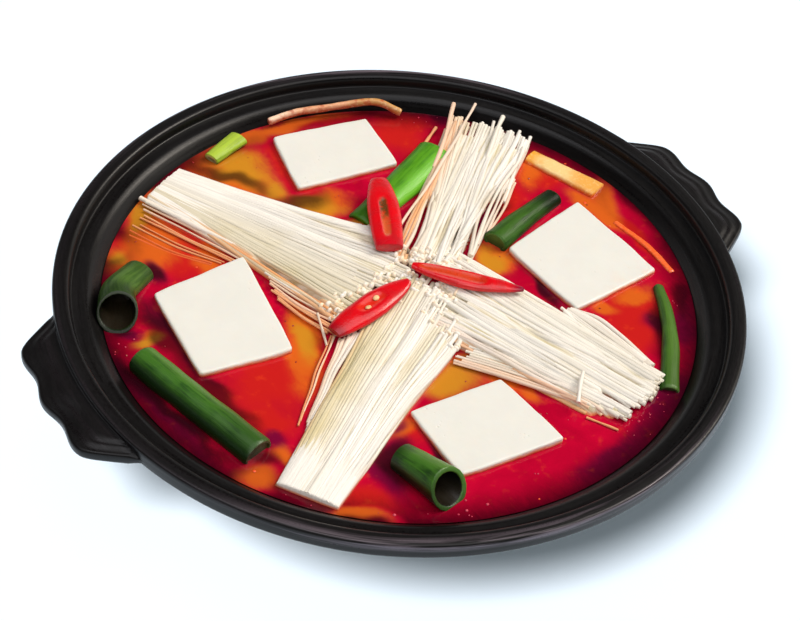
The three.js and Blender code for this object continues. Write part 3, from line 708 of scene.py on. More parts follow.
def stoneware(s):
    """Satin black stoneware with thin violet-gray arcs round the rim, partly wear and partly a painted
    highlight.
    """
    look = Finish("satin_black_stoneware", specular_ior_level=0.26)
    x, y, z = look.axes()
    radius = calc("SQRT", x * x + y * y)
    angle = calc("ARCTAN2", y, x)
    marks = look.noise(1.0, 4.0, 0.6, vector(look.tree, radius * 620, z * 620, angle * 2.2), 0.3)
    grain = look.noise(900, 4.0, 0.7)
    look.tone = mix(look.noise(22).fade(0.35, 0.7), darker(s.colour, 0.75), darker(s.colour, 1.4))
    top = z.fade(POT_HEIGHT - 0.004, POT_HEIGHT - 0.0012)
    # the violet-gray arcs are partly wear and partly painted highlight, strongest on two opposite sides of
    # the rim where the lights glance off it
    wear_and_sheen = radius.fade(RIM_RADIUS - 0.0052, RIM_RADIUS - 0.0006) * top * marks.fade(0.44, 0.64)
    sheen_sides = calc("COSINE", (angle - 1.35) * 2.0).fade(-0.2, 0.85, 0.08, 1.0)
    look.paint(wear_and_sheen * sheen_sides, "#6e646c")
    gloss = marks.fade(0.3, 0.75, 0.4, 0.26) + grain.fade(0.3, 0.7, -0.03, 0.05)
    return look.done(gloss, (grain * 0.3 + marks).relief(0.00016, 0.5))


class HOTPOT_OT_pot(bpy.types.Operator):
    """Builds the turned stoneware pot with its two lugs"""
    bl_idname = "hotpot.pot"
    bl_label = "Black pot"

    def execute(self, context):
        s = context.scene.hotpot_pot
        settle(piece("black_pot", *pot_body(s), stoneware(s), sharp=55), "pot", "pot")
        return {"FINISHED"}


# ---- broth ------------------------------------------------------------------------------------
WALL_GAP = 0.25  # between the broth and the inner wall, in mm
CREEP_WIDTH = 1.1
RIPPLE_SIZE = 15
SWIRLS = ((6, 22), (2.6, 8))  # how far the zones' edges stray, and over what distance


def zone_share(x, y, zones):
    """How far each place lies within any of the soft zones, from 0 to 1."""
    best = np.zeros_like(x)
    for at_x, at_y, half_x, half_y, turn in zones:
        cos, sin = math.cos(math.radians(turn)), math.sin(math.radians(turn))
        dx, dy = x - at_x, y - at_y
        off = np.hypot((dx * cos + dy * sin) / half_x, (dy * cos - dx * sin) / half_y)
        share = 1 - smoothstep(off, 0.1, 1.5)
        best = best + share - best * share
    return best


def broth_body(s, pot):
    """The pool: a finely rippled surface and a side that follows the bowl."""
    radius, floor = pot.broth_radius / MM - WALL_GAP, pot.floor_radius / MM
    surface = np.concatenate([np.linspace(0.6, radius - 3, 120), radius - 3 + 3 * np.linspace(0.15, 1, 9)])
    wall = bezier((radius, 0), (radius - 13, -20), (floor + 24, -41), (floor, -44.7), 12)[1:]
    way = np.stack([np.cos(turns(360)), np.sin(turns(360))], axis=1)
    rings = []
    for reach in surface:
        creep = s.meniscus / MM * math.exp(-(radius - reach) / CREEP_WIDTH)
        rings.append([(x, y, creep + s.ripple / MM * wobble((x, y, 0), RIPPLE_SIZE)) for x, y in way * reach])
    rings += [[(x, y, z) for x, y in way * reach] for reach, z in wall]
    vertices, faces, _ = tube(rings[::-1])
    plan = vertices[:, :2] / MM
    places = []
    for axis, lifts in ((0, (3, 4)), (1, (9, 11))):
        strays = [far * np.array([wobble((*p, lift), size) for p in plan])
                  for (far, size), lift in zip(SWIRLS, lifts)]
        places.append(plan[:, axis] + sum(strays))
    return vertices, faces, {name: zone_share(*places, zones) for name, zones in ZONES.items()}


def red_broth(s):
    """Clear red broth, with oil and pale food showing through in soft zones, painted shade beside the pieces
    and a painted dark edge of shade along the wall.
    """
    look = Finish("red_chili_broth", specular_ior_level=0.3, coat_weight=0.1, coat_roughness=0.04)
    x, y, _ = look.axes()
    drawn_out = signal(look.tree, "ShaderNodeMapping", {"Vector": look.place, "Scale": (300, 110, 90)})
    clouds = look.noise(45, 5.0, 0.55, distortion=0.8)
    streaks = look.noise(1.0, 4.0, 0.6, drawn_out, 1.6)
    fine = look.noise(190, 4.0, 0.6)
    broken = clouds * 0.6 + (streaks * 0.5 + fine * 0.35) - 0.72

    def paint_zone(name, spread, most, colour):
        """Paints a kind of zone, its edges broken up as far as the spread says."""
        zone = look.value(name)
        share = zone + broken * (zone * (1.35 - zone)) * spread
        look.paint(share.fade(0.02, 0.95, 0.0, most), colour)

    look.tone = mix(clouds.fade(0.3, 0.75), darker(s.crimson, 0.82), darker(s.crimson, 1.12))
    paint_zone("red", 1.6, 1.0, s.red)
    paint_zone("orange", 2.2, 0.95, s.orange)
    paint_zone("ochre", 1.6, 0.9, s.ochre)
    # painted shade along the wall and beside the pieces
    paint_zone("maroon", 1.2, 0.92, s.maroon)
    look.paint(fine.fade(0.55, 0.8, 0.0, 0.25), "#f0521e")
    paint_zone("shade", 1.2, 0.8, "#24080c")
    # painted shade: the broth darkens towards the wall, less so in the lit zones
    wall_shade = (calc("SQRT", x * x + y * y) + broken * 0.008).fade(0.105, 0.1235)
    unlit = look.value("lit").fade(0.0, 0.9, 0.94, 0.2)
    look.paint(wall_shade * unlit, darker(s.maroon, 0.14))
    return look.done(clouds.fade(0.3, 0.7, 0.1, 0.16), look.noise(120, 2.0).relief(0.0005, 0.2))


class HOTPOT_OT_broth(bpy.types.Operator):
    """Fills the pot with red broth up to its level"""
    bl_idname = "hotpot.broth"
    bl_label = "Red broth"

    def execute(self, context):
        s = context.scene.hotpot_broth
        settle(piece("broth_pool", *broth_body(s, context.scene.hotpot_pot), red_broth(s)), "broth", "broth")
        return {"FINISHED"}


# ---- tofu -------------------------------------------------------------------------------------
TOFU_CUTS = 34
SIDE_WAVES = ((0.45, 16, 1), (0.12, 3.5, 2))  # how far a side strays, over what distance, the seed's step
TOP_WAVES = ((0.22, 18, 3), (0.06, 4, 4))  # the same for the top


def tofu_body(corners, tip, s, seed):
    """A slice with soft cut edges: a finely divided block, rounded, then laid on its four corners."""
    block = bmesh.new()
    bmesh.ops.create_cube(block, size=2)
    bmesh.ops.subdivide_edges(block, edges=block.edges[:], cuts=TOFU_CUTS, use_grid_fill=True)
    block.verts.index_update()
    faces = [[vertex.index for vertex in face.verts] for face in block.faces]
    quad, middle = np.array(corners, float), np.mean(corners, axis=0)
    half = np.array([math.dist(*corners[:2]), math.dist(*corners[1:3]), s.thickness / MM]) / 2
    diagonal = np.linalg.norm(half[:2])
    points = []
    for vertex in block.verts:
        c = np.sin(np.array(vertex.co) * math.pi / 2)
        p = c * half
        edge = s.edge / MM * (1 + 0.5 * wobble(p, 9, seed))
        inner = np.clip(p, -(half - edge), half - edge)
        out = p - inner
        size = np.linalg.norm(out)
        if size > 1e-6:
            p = inner + out / size * edge
        u, v = (p[:2] / half[:2] + 1) / 2
        plan = (quad[0] * (1 - u) + quad[1] * u) * (1 - v) + (quad[3] * (1 - u) + quad[2] * u) * v
        plan = plan + (middle - plan) * 0.7 * (c[0] * c[1]) ** 4 / diagonal
        sway, rise = (sum(far * wobble(p, size, seed + step) for far, size, step in waves)
                      for waves in (SIDE_WAVES, TOP_WAVES))
        height = p[2] - half[2] + s.lift / MM + rise + np.dot(tip, plan - middle)
        points.append((*(plan + (plan - middle) / diagonal * sway), height))
    block.free()
    return in_place(points), faces, {}


def moist_tofu(s):
    """White tofu: faint clouds, small pores with painted shade in them, and a red stain where it stands in
    the broth, partly a painted reflection of the broth.
    """
    look = Finish("moist_tofu", subsurface_weight=0.25, subsurface_radius=(1.0, 0.6, 0.4),
                  subsurface_scale=0.002, specular_ior_level=0.4)
    clouds = look.noise(70, 4.0)
    cells = signal(look.tree, "ShaderNodeTexVoronoi", {"Vector": look.place, "Scale": 330})
    rare = look.noise(60, 2.0).fade(0.56, 0.68)
    pits = 1.0 - (1.0 - cells.fade(0.05, 0.2)) * rare
    look.tone = mix(clouds.fade(0.3, 0.7), s.colour, darker(s.colour, 0.96))
    # painted shade in the pores, where the relief dips
    look.paint(pits.fade(0.0, 1.0, 0.15, 0.0), "#cfc6b0")
    height = look.axes()[2] + look.noise(160) * 0.0014
    # a red broth stain, partly painted reflection of the red broth on the sides
    look.paint(near_broth(height, 1.2, 3.0), "#eca67c")
    look.paint(near_broth(height, 0.6, 2.0), "#c8381c")
    return look.done(clouds.fade(0.3, 0.7, 0.3, 0.45), pits.relief(0.0004, 0.4, clouds.relief(0.0008, 0.4)))


class HOTPOT_OT_tofu(bpy.types.Operator):
    """Lays the four tofu slices in the broth"""
    bl_idname = "hotpot.tofu"
    bl_label = "Tofu slices"

    def execute(self, context):
        s = context.scene.hotpot_tofu
        finish = moist_tofu(s)
        for k, (node, plan) in enumerate(TOFU.items()):
            body = tofu_body(plan["corners"], plan["tip"], s, seed=k * 5)
            settle(piece(node.replace("tofu", "tofu_slice"), *body, finish, sharp=180), "tofu", node)
        return {"FINISHED"}


# ---- enoki ------------------------------------------------------------------------------------
STRAND_POINTS = 26
STRAND_SIDES = 8
CAP_FLATNESS = 0.62
CROWN_POWER = 4  # how boxy a bundle's section is
LAYERS = ((1.9, 0.8), (0.9, 1.0), (0.1, 1.0))  # how far each layer lies below the top, and its share of stems
LAST_LAYER = len(LAYERS) - 1
CORE_SIDES = 88
CORE_DEPTH = 7
CORE_DROP = 0.8  # how far the core lies below the bundle's top
CORE_SINK = 9.5  # how far the core gives way in a gap
STEM_SINK, FEW_SINK = 9, 1  # how far most stems give way in a gap, and the few that pass over it
SINK_CHANCE, CAP_CHANCE = 0.55, 0.8  # shares of the top stems that give way, and of stems with a cap


class Bundle:
    """Where a bundle's surface is: t runs from the cut end to the caps, u across it from -1 to 1."""

    def __init__(self, plan):
        self.plan = plan
        self.start = np.array(plan["cut"], float)
        self.run = np.array(plan["caps"], float) - self.start
        self.reach = np.linalg.norm(self.run)
        self.across = np.array([-self.run[1], self.run[0]]) / self.reach
        self.seed = plan["seed"] * 0.37

    def half(self, t):
        return between(self.plan["width"], t) / 2

    def height(self, t):
        return between(self.plan["rise"], t)

    def place(self, t, offset):
        """The plan's x and y at an offset in mm from the middle line."""
        apex = self.plan.get("apex", 0)
        slope = self.plan["wedge"][0 if offset < apex else 1]
        back = slope * min(max(2 * t - 1, 0), 1) * abs(offset - apex) / self.reach
        return self.start + self.run * (t - back) + self.across * offset

    def wobble(self, *point):
        return wobble(point, 1, self.seed)

    def groove(self, u, t):
        """How deep a place lies in a furrow between clumps, from 0 to 1."""
        return float(smoothstep(self.wobble(u * 5.5, t * 1.6, 9), 0.12, 0.42))

    def opening(self, u, t):
        """How open the bundle is at a place, from 0 to 1; a gap has a place across, a half width and ends."""
        widest = 0.0
        for at, half, low, high in self.plan["gaps"]:
            across = 1 - smoothstep(abs(u - at), half * 0.4, half)
            widest = max(widest, float(across * smoothstep(min(t - low, high - t), 0, 0.08)))
        return widest

    def side_share(self, u, key):
        """How strongly a place gets painted shade on the shaded side, and under the soak key how soaked it
        is: 0 at the span's low end, the most at its high end.
        """
        low, high, most = self.plan[key]
        return most * float(smoothstep((u - low) / (high - low), 0, 1))


def packed_stems(plan, s, rng):
    """The middle lines of a bundle's packed stems, each with its thickness, tone, shade, soaking and cap."""
    bundle = Bundle(plan)
    ragged = plan["ragged"] / bundle.reach
    slant_from, slant = plan.get("slant", (1, 0))
    lines = []
    for layer, (drop, share) in enumerate(LAYERS):
        count = int(max(plan["width"]) * MM / s.pitch * share)
        for k in range(count):
            home = (k + 0.5 + rng.uniform(-0.4, 0.4)) / count * 2 - 1
            drift = plan["cross"] * (2.4 * bundle.wobble(home * 2.4, layer * 1.7, 2) + rng.gauss(0, 0.3))
            clump = 0.5 + 0.5 * bundle.wobble(home * plan.get("clump", 2), layer * 0.3, 4)
            start = 0.006 - ragged * (0.65 * clump + 0.35 * rng.uniform(-0.3, 1.0))
            start += max(home - slant_from, 0) * slant
            sinks = STEM_SINK if layer < LAST_LAYER or rng.random() < SINK_CHANCE else FEW_SINK
            end = 1.0 + plan["over"] - 0.08 * rng.random()
            end -= 0.1 * rng.random() if layer == LAST_LAYER else 0
            radius = s.stem / MM * rng.uniform(0.68, 1.25)
            lift, phase = rng.gauss(0, 0.1), rng.uniform(0, 40)
            soaks = 0.35 + 0.65 * math.sin(home * 57) ** 2
            points, shade, soak = [], [], []
            for t in np.linspace(start, end, STRAND_POINTS):
                u = home + drift * (t - 0.5) * 2 + 0.06 * bundle.wobble(home * 2.2, t * 2.4, layer)
                u = min(max(u + 0.015 * bundle.wobble(phase, t * 6, 0), -1), 1)
                offset = u * (bundle.half(t) - 1.2)
                free = float(smoothstep(t, plan["block"] * 0.6, plan["block"] * 1.6 + 0.05))
                groove = bundle.groove(u, t) * free
                crown = (1 - abs(offset / bundle.half(t)) ** CROWN_POWER) ** (1 / CROWN_POWER)
                top = bundle.height(t) * crown - radius - drop * 0.8 + lift - plan["groove"] * groove
                top += 0.35 * bundle.wobble(home * 4, t * 3, 5) + max(0.03 - t, 0) * plan.get("tip_up", 0)
                points.append((*bundle.place(t, offset), max(top, 0.25) - sinks * bundle.opening(u, t)))
                # painted shade: darker in the furrows, on the lower layers and towards the bundle's shaded
                # side
                shaded = 0.55 * groove + bundle.side_share(u, "shaded_side") + 0.1 * (LAST_LAYER - layer)
                shade.append(min(shaded, 1))
                soak.append(bundle.side_share(u, "soak") * soaks)
            lines.append(dict(points=points, radius=radius, tone=rng.random(), shade=shade, soak=soak,
                              cap=float(end > 0.9 and rng.random() < CAP_CHANCE)))
    return lines


def fringe_paths(plan, rng):
    """Loose strands spread between two paths, each with its soaking and thickness."""
    strands = []
    for first, last, count, (dry, wet), radius in plan["fringe"]:
        for k in range(count):
            share = (k + rng.uniform(-0.35, 0.35)) / (count - 1)
            path = np.array(first, float) * (1 - share) + np.array(last, float) * share
            path[0] += (path[0] - path[1]) * rng.uniform(-0.18, 0.05)
            path[-1] += (path[-1] - path[-2]) * rng.uniform(-0.15, 0.15)
            path[1] += (rng.gauss(0, 0.7), rng.gauss(0, 0.7), 0)
            soaked = dry + (wet - dry) * min(max(share + rng.uniform(-0.25, 0.25), 0), 1)
            strands.append((path, soaked, radius * rng.uniform(0.7, 1.25)))
    return strands


def loose_stems(plan, rng):
    """The middle lines of a bundle's loose strands."""
    seed = plan["seed"] * 0.37
    lines = []
    for path, soaked, radius in plan["loose"] + fringe_paths(plan, rng):
        route = Route(path)
        points = []
        for share in np.linspace(0, 1, STRAND_POINTS):
            point = route.at(share)
            points.append(point + 0.35 * wobble(point, 14, seed) * np.array((1, -1, 0.2)))
        lines.append(dict(points=points, radius=radius, tone=rng.random(), shade=0.25 * rng.random(),
                          soak=soaked, cap=0.0))
    return lines


def stem_lines(name, plan, s):
    """A bundle's middle lines as a mesh of edges that carries their values."""
    rng = random.Random(plan["seed"])
    lines = packed_stems(plan, s, rng) + loose_stems(plan, rng)
    run = np.linspace(0, 1, STRAND_POINTS)
    points = in_place(np.concatenate([line["points"] for line in lines]))
    edges = [(k, k + 1) for k in range(len(points) - 1) if (k + 1) % STRAND_POINTS]
    values = {"thickness": [line["radius"] * MM * (0.92 + 0.14 * np.sin(run * 9 + line["tone"] * 30))
                            for line in lines]}
    for key in ("tone", "shade", "soak", "cap"):
        values[key] = [np.broadcast_to(line[key], STRAND_POINTS) for line in lines]
    return piece(name, points, [], values, edges=edges)


def stem_growth():
    """Geometry Nodes: stems along lines, each with its own thickness, and caps on some of their ends."""
    grow = Growth("enoki stems", sides=("Int", STRAND_SIDES), cap_radius=("Float", 0.0015),
                  flatness=("Float", CAP_FLATNESS), seed=("Int", 1), stem_finish=("Material", None),
                  cap_finish=("Material", None))
    tree, given = grow.tree, grow.given
    line = signal(tree, "GeometryNodeMeshToCurve", {"Mesh": given["source"]})
    section = signal(tree, "GeometryNodeCurvePrimitiveCircle", {"Resolution": given["sides"], "Radius": 1.0})
    stems = signal(tree, "GeometryNodeCurveToMesh", {
        "Curve": line, "Profile Curve": section, "Scale": grow.value("thickness"), "Fill Caps": True})
    last = signal(tree, "GeometryNodeCurveEndpointSelection", {"Start Size": 0, "End Size": 1})
    capped = signal(tree, "FunctionNodeCompare", {0: grow.value("cap"), 1: 0.5}, operation="GREATER_THAN")
    chosen = signal(tree, "FunctionNodeBooleanMath", {0: last, 1: capped}, operation="AND")
    way = signal(tree, "GeometryNodeInputTangent")
    facing = signal(tree, "FunctionNodeAlignRotationToVector", {"Vector": way}, axis="Z")
    chance = signal(tree, "FunctionNodeRandomValue", {"Min": 0.7, "Max": 1.15, "Seed": given["seed"]},
                    "Value", data_type="FLOAT")
    caps = grow.copies(given["cap_finish"], points=line, selection=chosen, rotation=facing,
                       instance=grow.ball(12, 7, (1.0, 1.0, given["flatness"])),
                       scale=chance * given["cap_radius"])
    grow.close(caps, grow.dressed(stems, given["stem_finish"]))
    return grow


def core_body(plan):
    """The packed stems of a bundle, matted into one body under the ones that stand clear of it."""
    bundle, block = Bundle(plan), plan["block"]
    section = boxy(np.stack([np.cos(turns(CORE_SIDES)), np.sin(turns(CORE_SIDES))], axis=1), 2 / CROWN_POWER)
    steps = [0.0, 0.004, *np.linspace(0.01, 0.94, 70)]
    rings, fusing, across = [], [], []
    for t in steps:
        fused = 1 - float(smoothstep(t, block * 0.5, block * 1.4 + 0.01)) if block else 0.0
        inset, sunk = (1.4 - 0.4 * fused, 0.5) if t == 0 else (0.8 - 0.4 * fused, 0)
        points, offsets = [], []
        for u, up in section:
            offset = u * (bundle.half(t) - inset)
            height = up * CORE_DEPTH
            if up > 0:
                height = up * (bundle.height(t) - CORE_DROP + 0.65 * fused - sunk)
                height += (0.4 - 0.25 * fused) * wobble((offset * 0.5, t * 5, up), 1, plan["seed"])
                height -= plan["groove"] * (1 - fused) * bundle.groove(u, t)
                height -= CORE_SINK * bundle.opening(u, t)
            points.append((*bundle.place(t if block else t * 0.95 + 0.03, offset), height))
            offsets.append(offset)
        rings.append(points)
        fusing.append(fused)
        across.append(offsets)
    return tube(rings, fused=column(fusing), across=across, along=column(steps) * bundle.reach)


def enoki_stems(s):
    """Moist stems: cream, each with its own tone, with painted shade in the furrows, on the lower layers and
    on a bundle's shaded side, and orange where the broth has soaked in.
    """
    look = Finish("moist_enoki_stem", specular_ior_level=0.2)
    patch = look.noise(60)
    look.tone = mix(look.value("tone").fade(0.1, 0.95), s.colour, darker(s.colour, 0.84))
    # painted shade from the stems' shade values, with random patches
    look.paint((look.value("shade") + patch.fade(0.45, 0.75, 0.0, 0.2)) * 0.9, s.shade)
    stain = near_broth(look.axes()[2] + look.noise(120) * 0.0024, 1.0, 2.6, 0.8)
    wet = calc("MAXIMUM", look.value("soak"), stain)
    look.paint(wet.fade(0.0, 0.6, 0.0, 0.85), "#e39b5c")
    look.paint(wet.fade(0.45, 1.0, 0.0, 0.9), s.soaked)
    return look.done(patch.fade(0.3, 0.7, 0.34, 0.46), look.noise(420).relief(0.0002, 0.3))


def patchy(name, first, second, scale, span, gloss, relief, specular):
    """A small part in one colour with patches of another; its span is where the patches begin and end."""
    look = Finish(name, specular_ior_level=specular)
    patch = look.noise(scale)
    look.tone = mix(patch.fade(*span), first, second)
    return look.done(patch.fade(0.3, 0.7, *gloss), patch.relief(*relief))


def enoki_inside(s):
    """The matted stems: fine lines of painted shade between them along the bundle, whiter where they are
    fused at the cut end.
    """
    look = Finish("matted_enoki", specular_ior_level=0.2)
    patch = look.noise(150, 4.0)
    along = vector(look.tree, look.value("across") * 0.9, look.value("along") * 0.035, 0.0)
    lines = look.noise(1.0, 4.0, 0.6, along)
    # painted shade: the darker lines stand for the shade in the gaps between stems
    look.tone = mix(lines.fade(0.3, 0.7), darker(s.shade, 0.9), s.colour)
    look.paint(look.value("fused"), mix(lines.fade(0.3, 0.6), darker(s.colour, 0.88), s.colour))
    look.paint(near_broth(look.axes()[2] + patch * 0.001, 0.6, 2.2, 0.9), "#e07038")
    return look.done(patch.fade(0.3, 0.7, 0.36, 0.5), (lines + patch * 0.2).relief(0.001, 0.5))


class HOTPOT_OT_enoki(bpy.types.Operator):
    """Lays the four bundles of enoki, stem by stem"""
    bl_idname = "hotpot.enoki"
    bl_label = "Enoki bundles"

    def execute(self, context):
        s = context.scene.hotpot_enoki
        grow = stem_growth()
        stem_finish, inside = enoki_stems(s), enoki_inside(s)
        cap_finish = patchy("moist_enoki_cap", s.colour, "#f0d9b8", 300, (0.35, 0.7), (0.22, 0.36),
                            (0.0003, 0.4), specular=0.35)
        for node, plan in ENOKI.items():
            stems = grow.apply(stem_lines(node + "_stems", plan, s), sides=STRAND_SIDES, cap_radius=s.cap,
                               flatness=CAP_FLATNESS, seed=plan["seed"], stem_finish=stem_finish,
                               cap_finish=cap_finish)
            core = piece(node + "_core", *core_body(plan), inside, sharp=50)
            settle(joined(node.replace("enoki", "enoki_bundle"), [stems, core]), "enoki", node)
        return {"FINISHED"}


# ---- green onion ------------------------------------------------------------------------------
ONION_SIDES = 40
ONION_RINGS = 60
RIBS = 17  # round a leaf
DENT, DENT_SIZE = 0.4, 13  # how deep a leaf's dents are, and over what distance
# the rings of a cut face: how far they shrink, how much they are cut and how far they stand out
CUT_FACE = ((1.6, 1.0, -0.7), (1.3, 1.0, 0.0), (0.55, 0.6, 0.0))
# the same round a hollow mouth, with the shrink as a share of the wall
MOUTH = ((0.0, 0.3, 0.0), (0.3, 1.0, 0.25), (0.8, 1.0, 0.2), (1.0, 0.5, 0.0))
LOWEST_BORE = 0.4  # so that the bore stays above the broth


def onion_body(plan, s, seed):
    """A leaf tube with fine ribs; an open end has a thin wall and a bore painted dark as shade, a shut one a
    cut face.
    """
    route = Route(plan["path"])
    angles = turns(ONION_SIDES)
    rings, cuts, shares = [], [], []

    def put(share, shrink, cut, shift=0.0, rib=1.0):
        """One ring: how far it shrinks, how much it is cut (-1 in the bore), and how strong its ribs are."""
        wide, high = (between(plan[key], share) - shrink for key in ("wide", "high"))
        far = share * route.length
        rough = []
        for angle in angles:
            ribs = s.ridge / MM * math.sin(angle * RIBS + 1.2 * wobble((far, angle, 0), 20, seed))
            dent = DENT * wobble((math.cos(angle) * 9, math.sin(angle) * 9, far), DENT_SIZE, seed)
            rough.append((ribs + dent) * rib)
        points = ring(route, share, (wide + rough) * np.cos(angles), (high + rough) * np.sin(angles),
                      plan.get("lean", 0) * share)
        rings.append(points + route.along(share) * shift)
        cuts.append(cut)
        shares.append(share)

    for shrink, cut, out in CUT_FACE:
        put(0, shrink, cut, -out)
    for share in np.linspace(0.015, 0.985, ONION_RINGS):
        put(share, 0.0, 0.0)
    if "wall" in plan:
        for shrink, cut, out in MOUTH:
            put(1, plan["wall"] * shrink, cut, out)
        for share in np.linspace(0.98, 1 - plan["depth"] / route.length, 12):
            put(share, plan["wall"] + (1 - share) * 1.5, -1.0, rib=0.5)
            rings[-1][:, 2] = np.maximum(rings[-1][:, 2], LOWEST_BORE)
    else:
        for shrink, cut, out in CUT_FACE[::-1]:
            put(1, shrink, cut, out)
    return tube(rings, cut=column(cuts), run=column(shares) * route.length * MM, share=column(shares),
                side=np.cos(angles), top=np.sin(angles))


def leaf_finish(name, base, deep, light, cut_face, toward, strip, shade, ends=(0, 0), gloss=0.24):
    """Waxy leaf with streaks along it. It has a painted highlight strip on the lit side, the way toward
    points, painted shade on the other side and on a cut face turned from the light, and darkened ends."""
    look = Finish(name, subsurface_weight=0.06, subsurface_radius=(0.4, 1.0, 0.3), subsurface_scale=0.0012,
                  specular_ior_level=gloss, coat_weight=gloss / 4, coat_roughness=0.2)
    side, top, run, cut, share = (look.value(key) for key in ("side", "top", "run", "cut", "share"))
    along = vector(look.tree, side * 4.0, top * 4.0, run * 40.0)
    streak = look.noise(1.6, 4.0, 0.5, along)
    fine = look.noise(5.0, 3.0, 0.5, along)
    look.tone = mix((streak * 0.6 + look.noise(130) * 0.4).fade(0.34, 0.56), deep, base)
    look.paint(fine.fade(0.5, 0.8, 0.0, 0.2), light)
    facing = side * toward[0] + top * toward[1]
    # painted highlight: a lighter strip on the lit side
    look.paint((facing + streak * 0.3).fade(0.45, 1.0, 0.0, strip), light)
    # painted shade on the side turned from the light
    look.paint((facing * -1.0).fade(0.0, 0.75, 0.0, shade), darker(deep, 0.3))
    look.paint(share.fade(0.0, 0.4, ends[0], 0.0), darker(deep, 0.35))
    look.paint(share.fade(0.5, 0.92, 0.0, ends[1]), darker(deep, 0.35))
    face = mix(look.noise(400), cut_face, darker(cut_face, 0.7))
    # painted shade on the part of a cut face turned from the light
    face = mix(facing.fade(-0.5, 0.8, 0.8, 0.0), face, darker(cut_face, 0.25))
    look.paint(cut.fade(0.25, 0.9), face)
    # painted shade: the bore is painted near-black
    look.paint(cut.fade(-0.9, -0.2, 1.0, 0.0), mix(top.fade(-0.9, 0.2), "#1a150c", "#090a07"))
    return look.done(fine.fade(0.3, 0.7, 0.28, 0.42), (fine + streak * 0.6).relief(0.00025, 0.4))


class HOTPOT_OT_greens(bpy.types.Operator):
    """Lays the pieces of green onion"""
    bl_idname = "hotpot.greens"
    bl_label = "Green onion"

    def execute(self, context):
        s = context.scene.hotpot_greens
        leaf, deep, light, olive = s.leaf, s.leaf_deep, "#567a2c", "#37441c"
        # name, base, deep, light, cut face, the way to the lit side, how strong its painted highlight strip
        # and its painted shade are, how dark its ends, gloss
        finishes = {
            "onion_bright": ("green_onion_bright", s.young, "#387612", "#6fbc2a", s.young,
                             (-0.9, 0.3), 0.8, 0.5, (0.6, 0)),
            "onion_small": ("green_onion_pale", "#93b02a", "#5c7a1c", "#b4cc4a", "#c9b070",
                            (0.2, 0.9), 0.5, 0.6),
            # painted shade: this leaf takes a darker copy of the leaf colour and its far end is darkened
            # fully
            "onion_right_short": ("green_onion_short", darker(leaf, 0.72), deep, light, "#5a7c3a",
                                  (0.15, 0.9), 0.12, 0.95, (0, 1.0), 0.12),
            "onion_right_rim": ("green_onion_by_rim", leaf, deep, light, olive,
                                (0.3, 0.85), 0.6, 0.9, (0.2, 0.3)),
            "onion_left_tube": ("green_onion_left", "#3f5a24", deep, light, "#373f31",
                                (0.5, 0.75), 0.3, 1.0, (0.4, 0.7), 0.14),
            "onion_left_long": ("green_onion_long", leaf, "#1f4414", light, olive,
                                (0.95, 0.3), 0.6, 1.0, (0, 0.5)),
            "onion_front_tube": ("green_onion_front", leaf, deep, light, "#456f2a",
                                 (0.7, 0.55), 0.6, 1.0, (0.7, 0)),
        }
        for seed, (node, plan) in enumerate(ONION.items()):
            body, finish = onion_body(plan, s, seed), leaf_finish(*finishes[node])
            settle(piece(node.replace("onion", "onion_leaf"), *body, finish, sharp=50), "green_onion", node)
        return {"FINISHED"}


# ---- small bits -------------------------------------------------------------------------------
def scatter_growth():
    """Geometry Nodes: a small rounded shape on every point, with its own size, turn and stretch."""
    grow = Growth("scattered bits", size=("Float", 0.001), stretch=("Float", 1.0), flatness=("Float", 0.4),
                  segments=("Int", 10), tilt=("Float", 0.1), seed=("Int", 1), finish=("Material", None))
    tree, given = grow.tree, grow.given
    tilt = given["tilt"]
    low = vector(tree, tilt * -1.0, tilt * -1.0, 0.0)
    high = vector(tree, tilt, tilt, 2 * math.pi)
    turn = signal(tree, "FunctionNodeRandomValue", {"Min": low, "Max": high, "Seed": given["seed"]}, "Value",
                  data_type="FLOAT_VECTOR")
    turned = signal(tree, "FunctionNodeEulerToRotation", {0: turn})
    bit = grow.ball(given["segments"], 5, (given["stretch"], 1.0, given["flatness"]))
    grow.close(grow.copies(given["finish"], points=given["source"], instance=bit, rotation=turned,
                           scale=grow.value("share") * given["size"]))
    return grow


def scattered(name, places, shares, **inputs):
    """Small bits at these places, in mm, each with its share of the full size, as a plain mesh."""
    return scatter_growth().apply(piece(name, in_place(places), [], {"share": shares}), **inputs)


# ---- chili ------------------------------------------------------------------------------------
CHILI_SIDES = 36
CHILI_RINGS = 46
SLOT_DEPTH = 1.2
TIP_SIZE = 0.55  # of the closing ring at each tip


def chili_width(plan, share):
    """Half the slice's width at a share of its length."""
    end = plan["ends"][0 if share < 0.5 else 1]
    return plan["wide"] * (end + (1 - end) * max(math.sin(math.pi * share), 0) ** 0.7)


def chili_body(plan, seed):
    """A slanting slice: a boat of skin and flesh with a narrow hollow slot along it."""
    route = Route(plan["path"])
    angles = turns(CHILI_SIDES)
    slot_from, slot_to, lean = plan["slot"]
    shares = [0.0, *np.linspace(0.006, 0.994, CHILI_RINGS), 1.0]
    rings, hollow = [], []
    for share in shares:
        tip = TIP_SIZE if share in (0.0, 1.0) else 1.0
        wide = chili_width(plan, share) * tip
        thick = plan["thick"] * max(chili_width(plan, share) / plan["wide"], 0.4) * tip
        out, rise = wide * np.cos(angles), thick * boxy(np.sin(angles), 0.8)
        face = np.clip(1 - ((out - lean * wide) / max(wide * plan["slot_wide"], 0.3)) ** 2, 0, 1)
        within = float(smoothstep(min(share - slot_from, slot_to - share), 0, 0.12))
        face = np.where(rise > 0, face * within, 0)
        rough = np.array([0.2 * wobble((share * 30, o, r), 6, seed) for o, r in zip(out, rise)])
        rings.append(ring(route, share, out + rough * 0.6, rise - SLOT_DEPTH * face + rough))
        hollow.append(face)
    return tube(rings, hollow=hollow, share=column(shares))


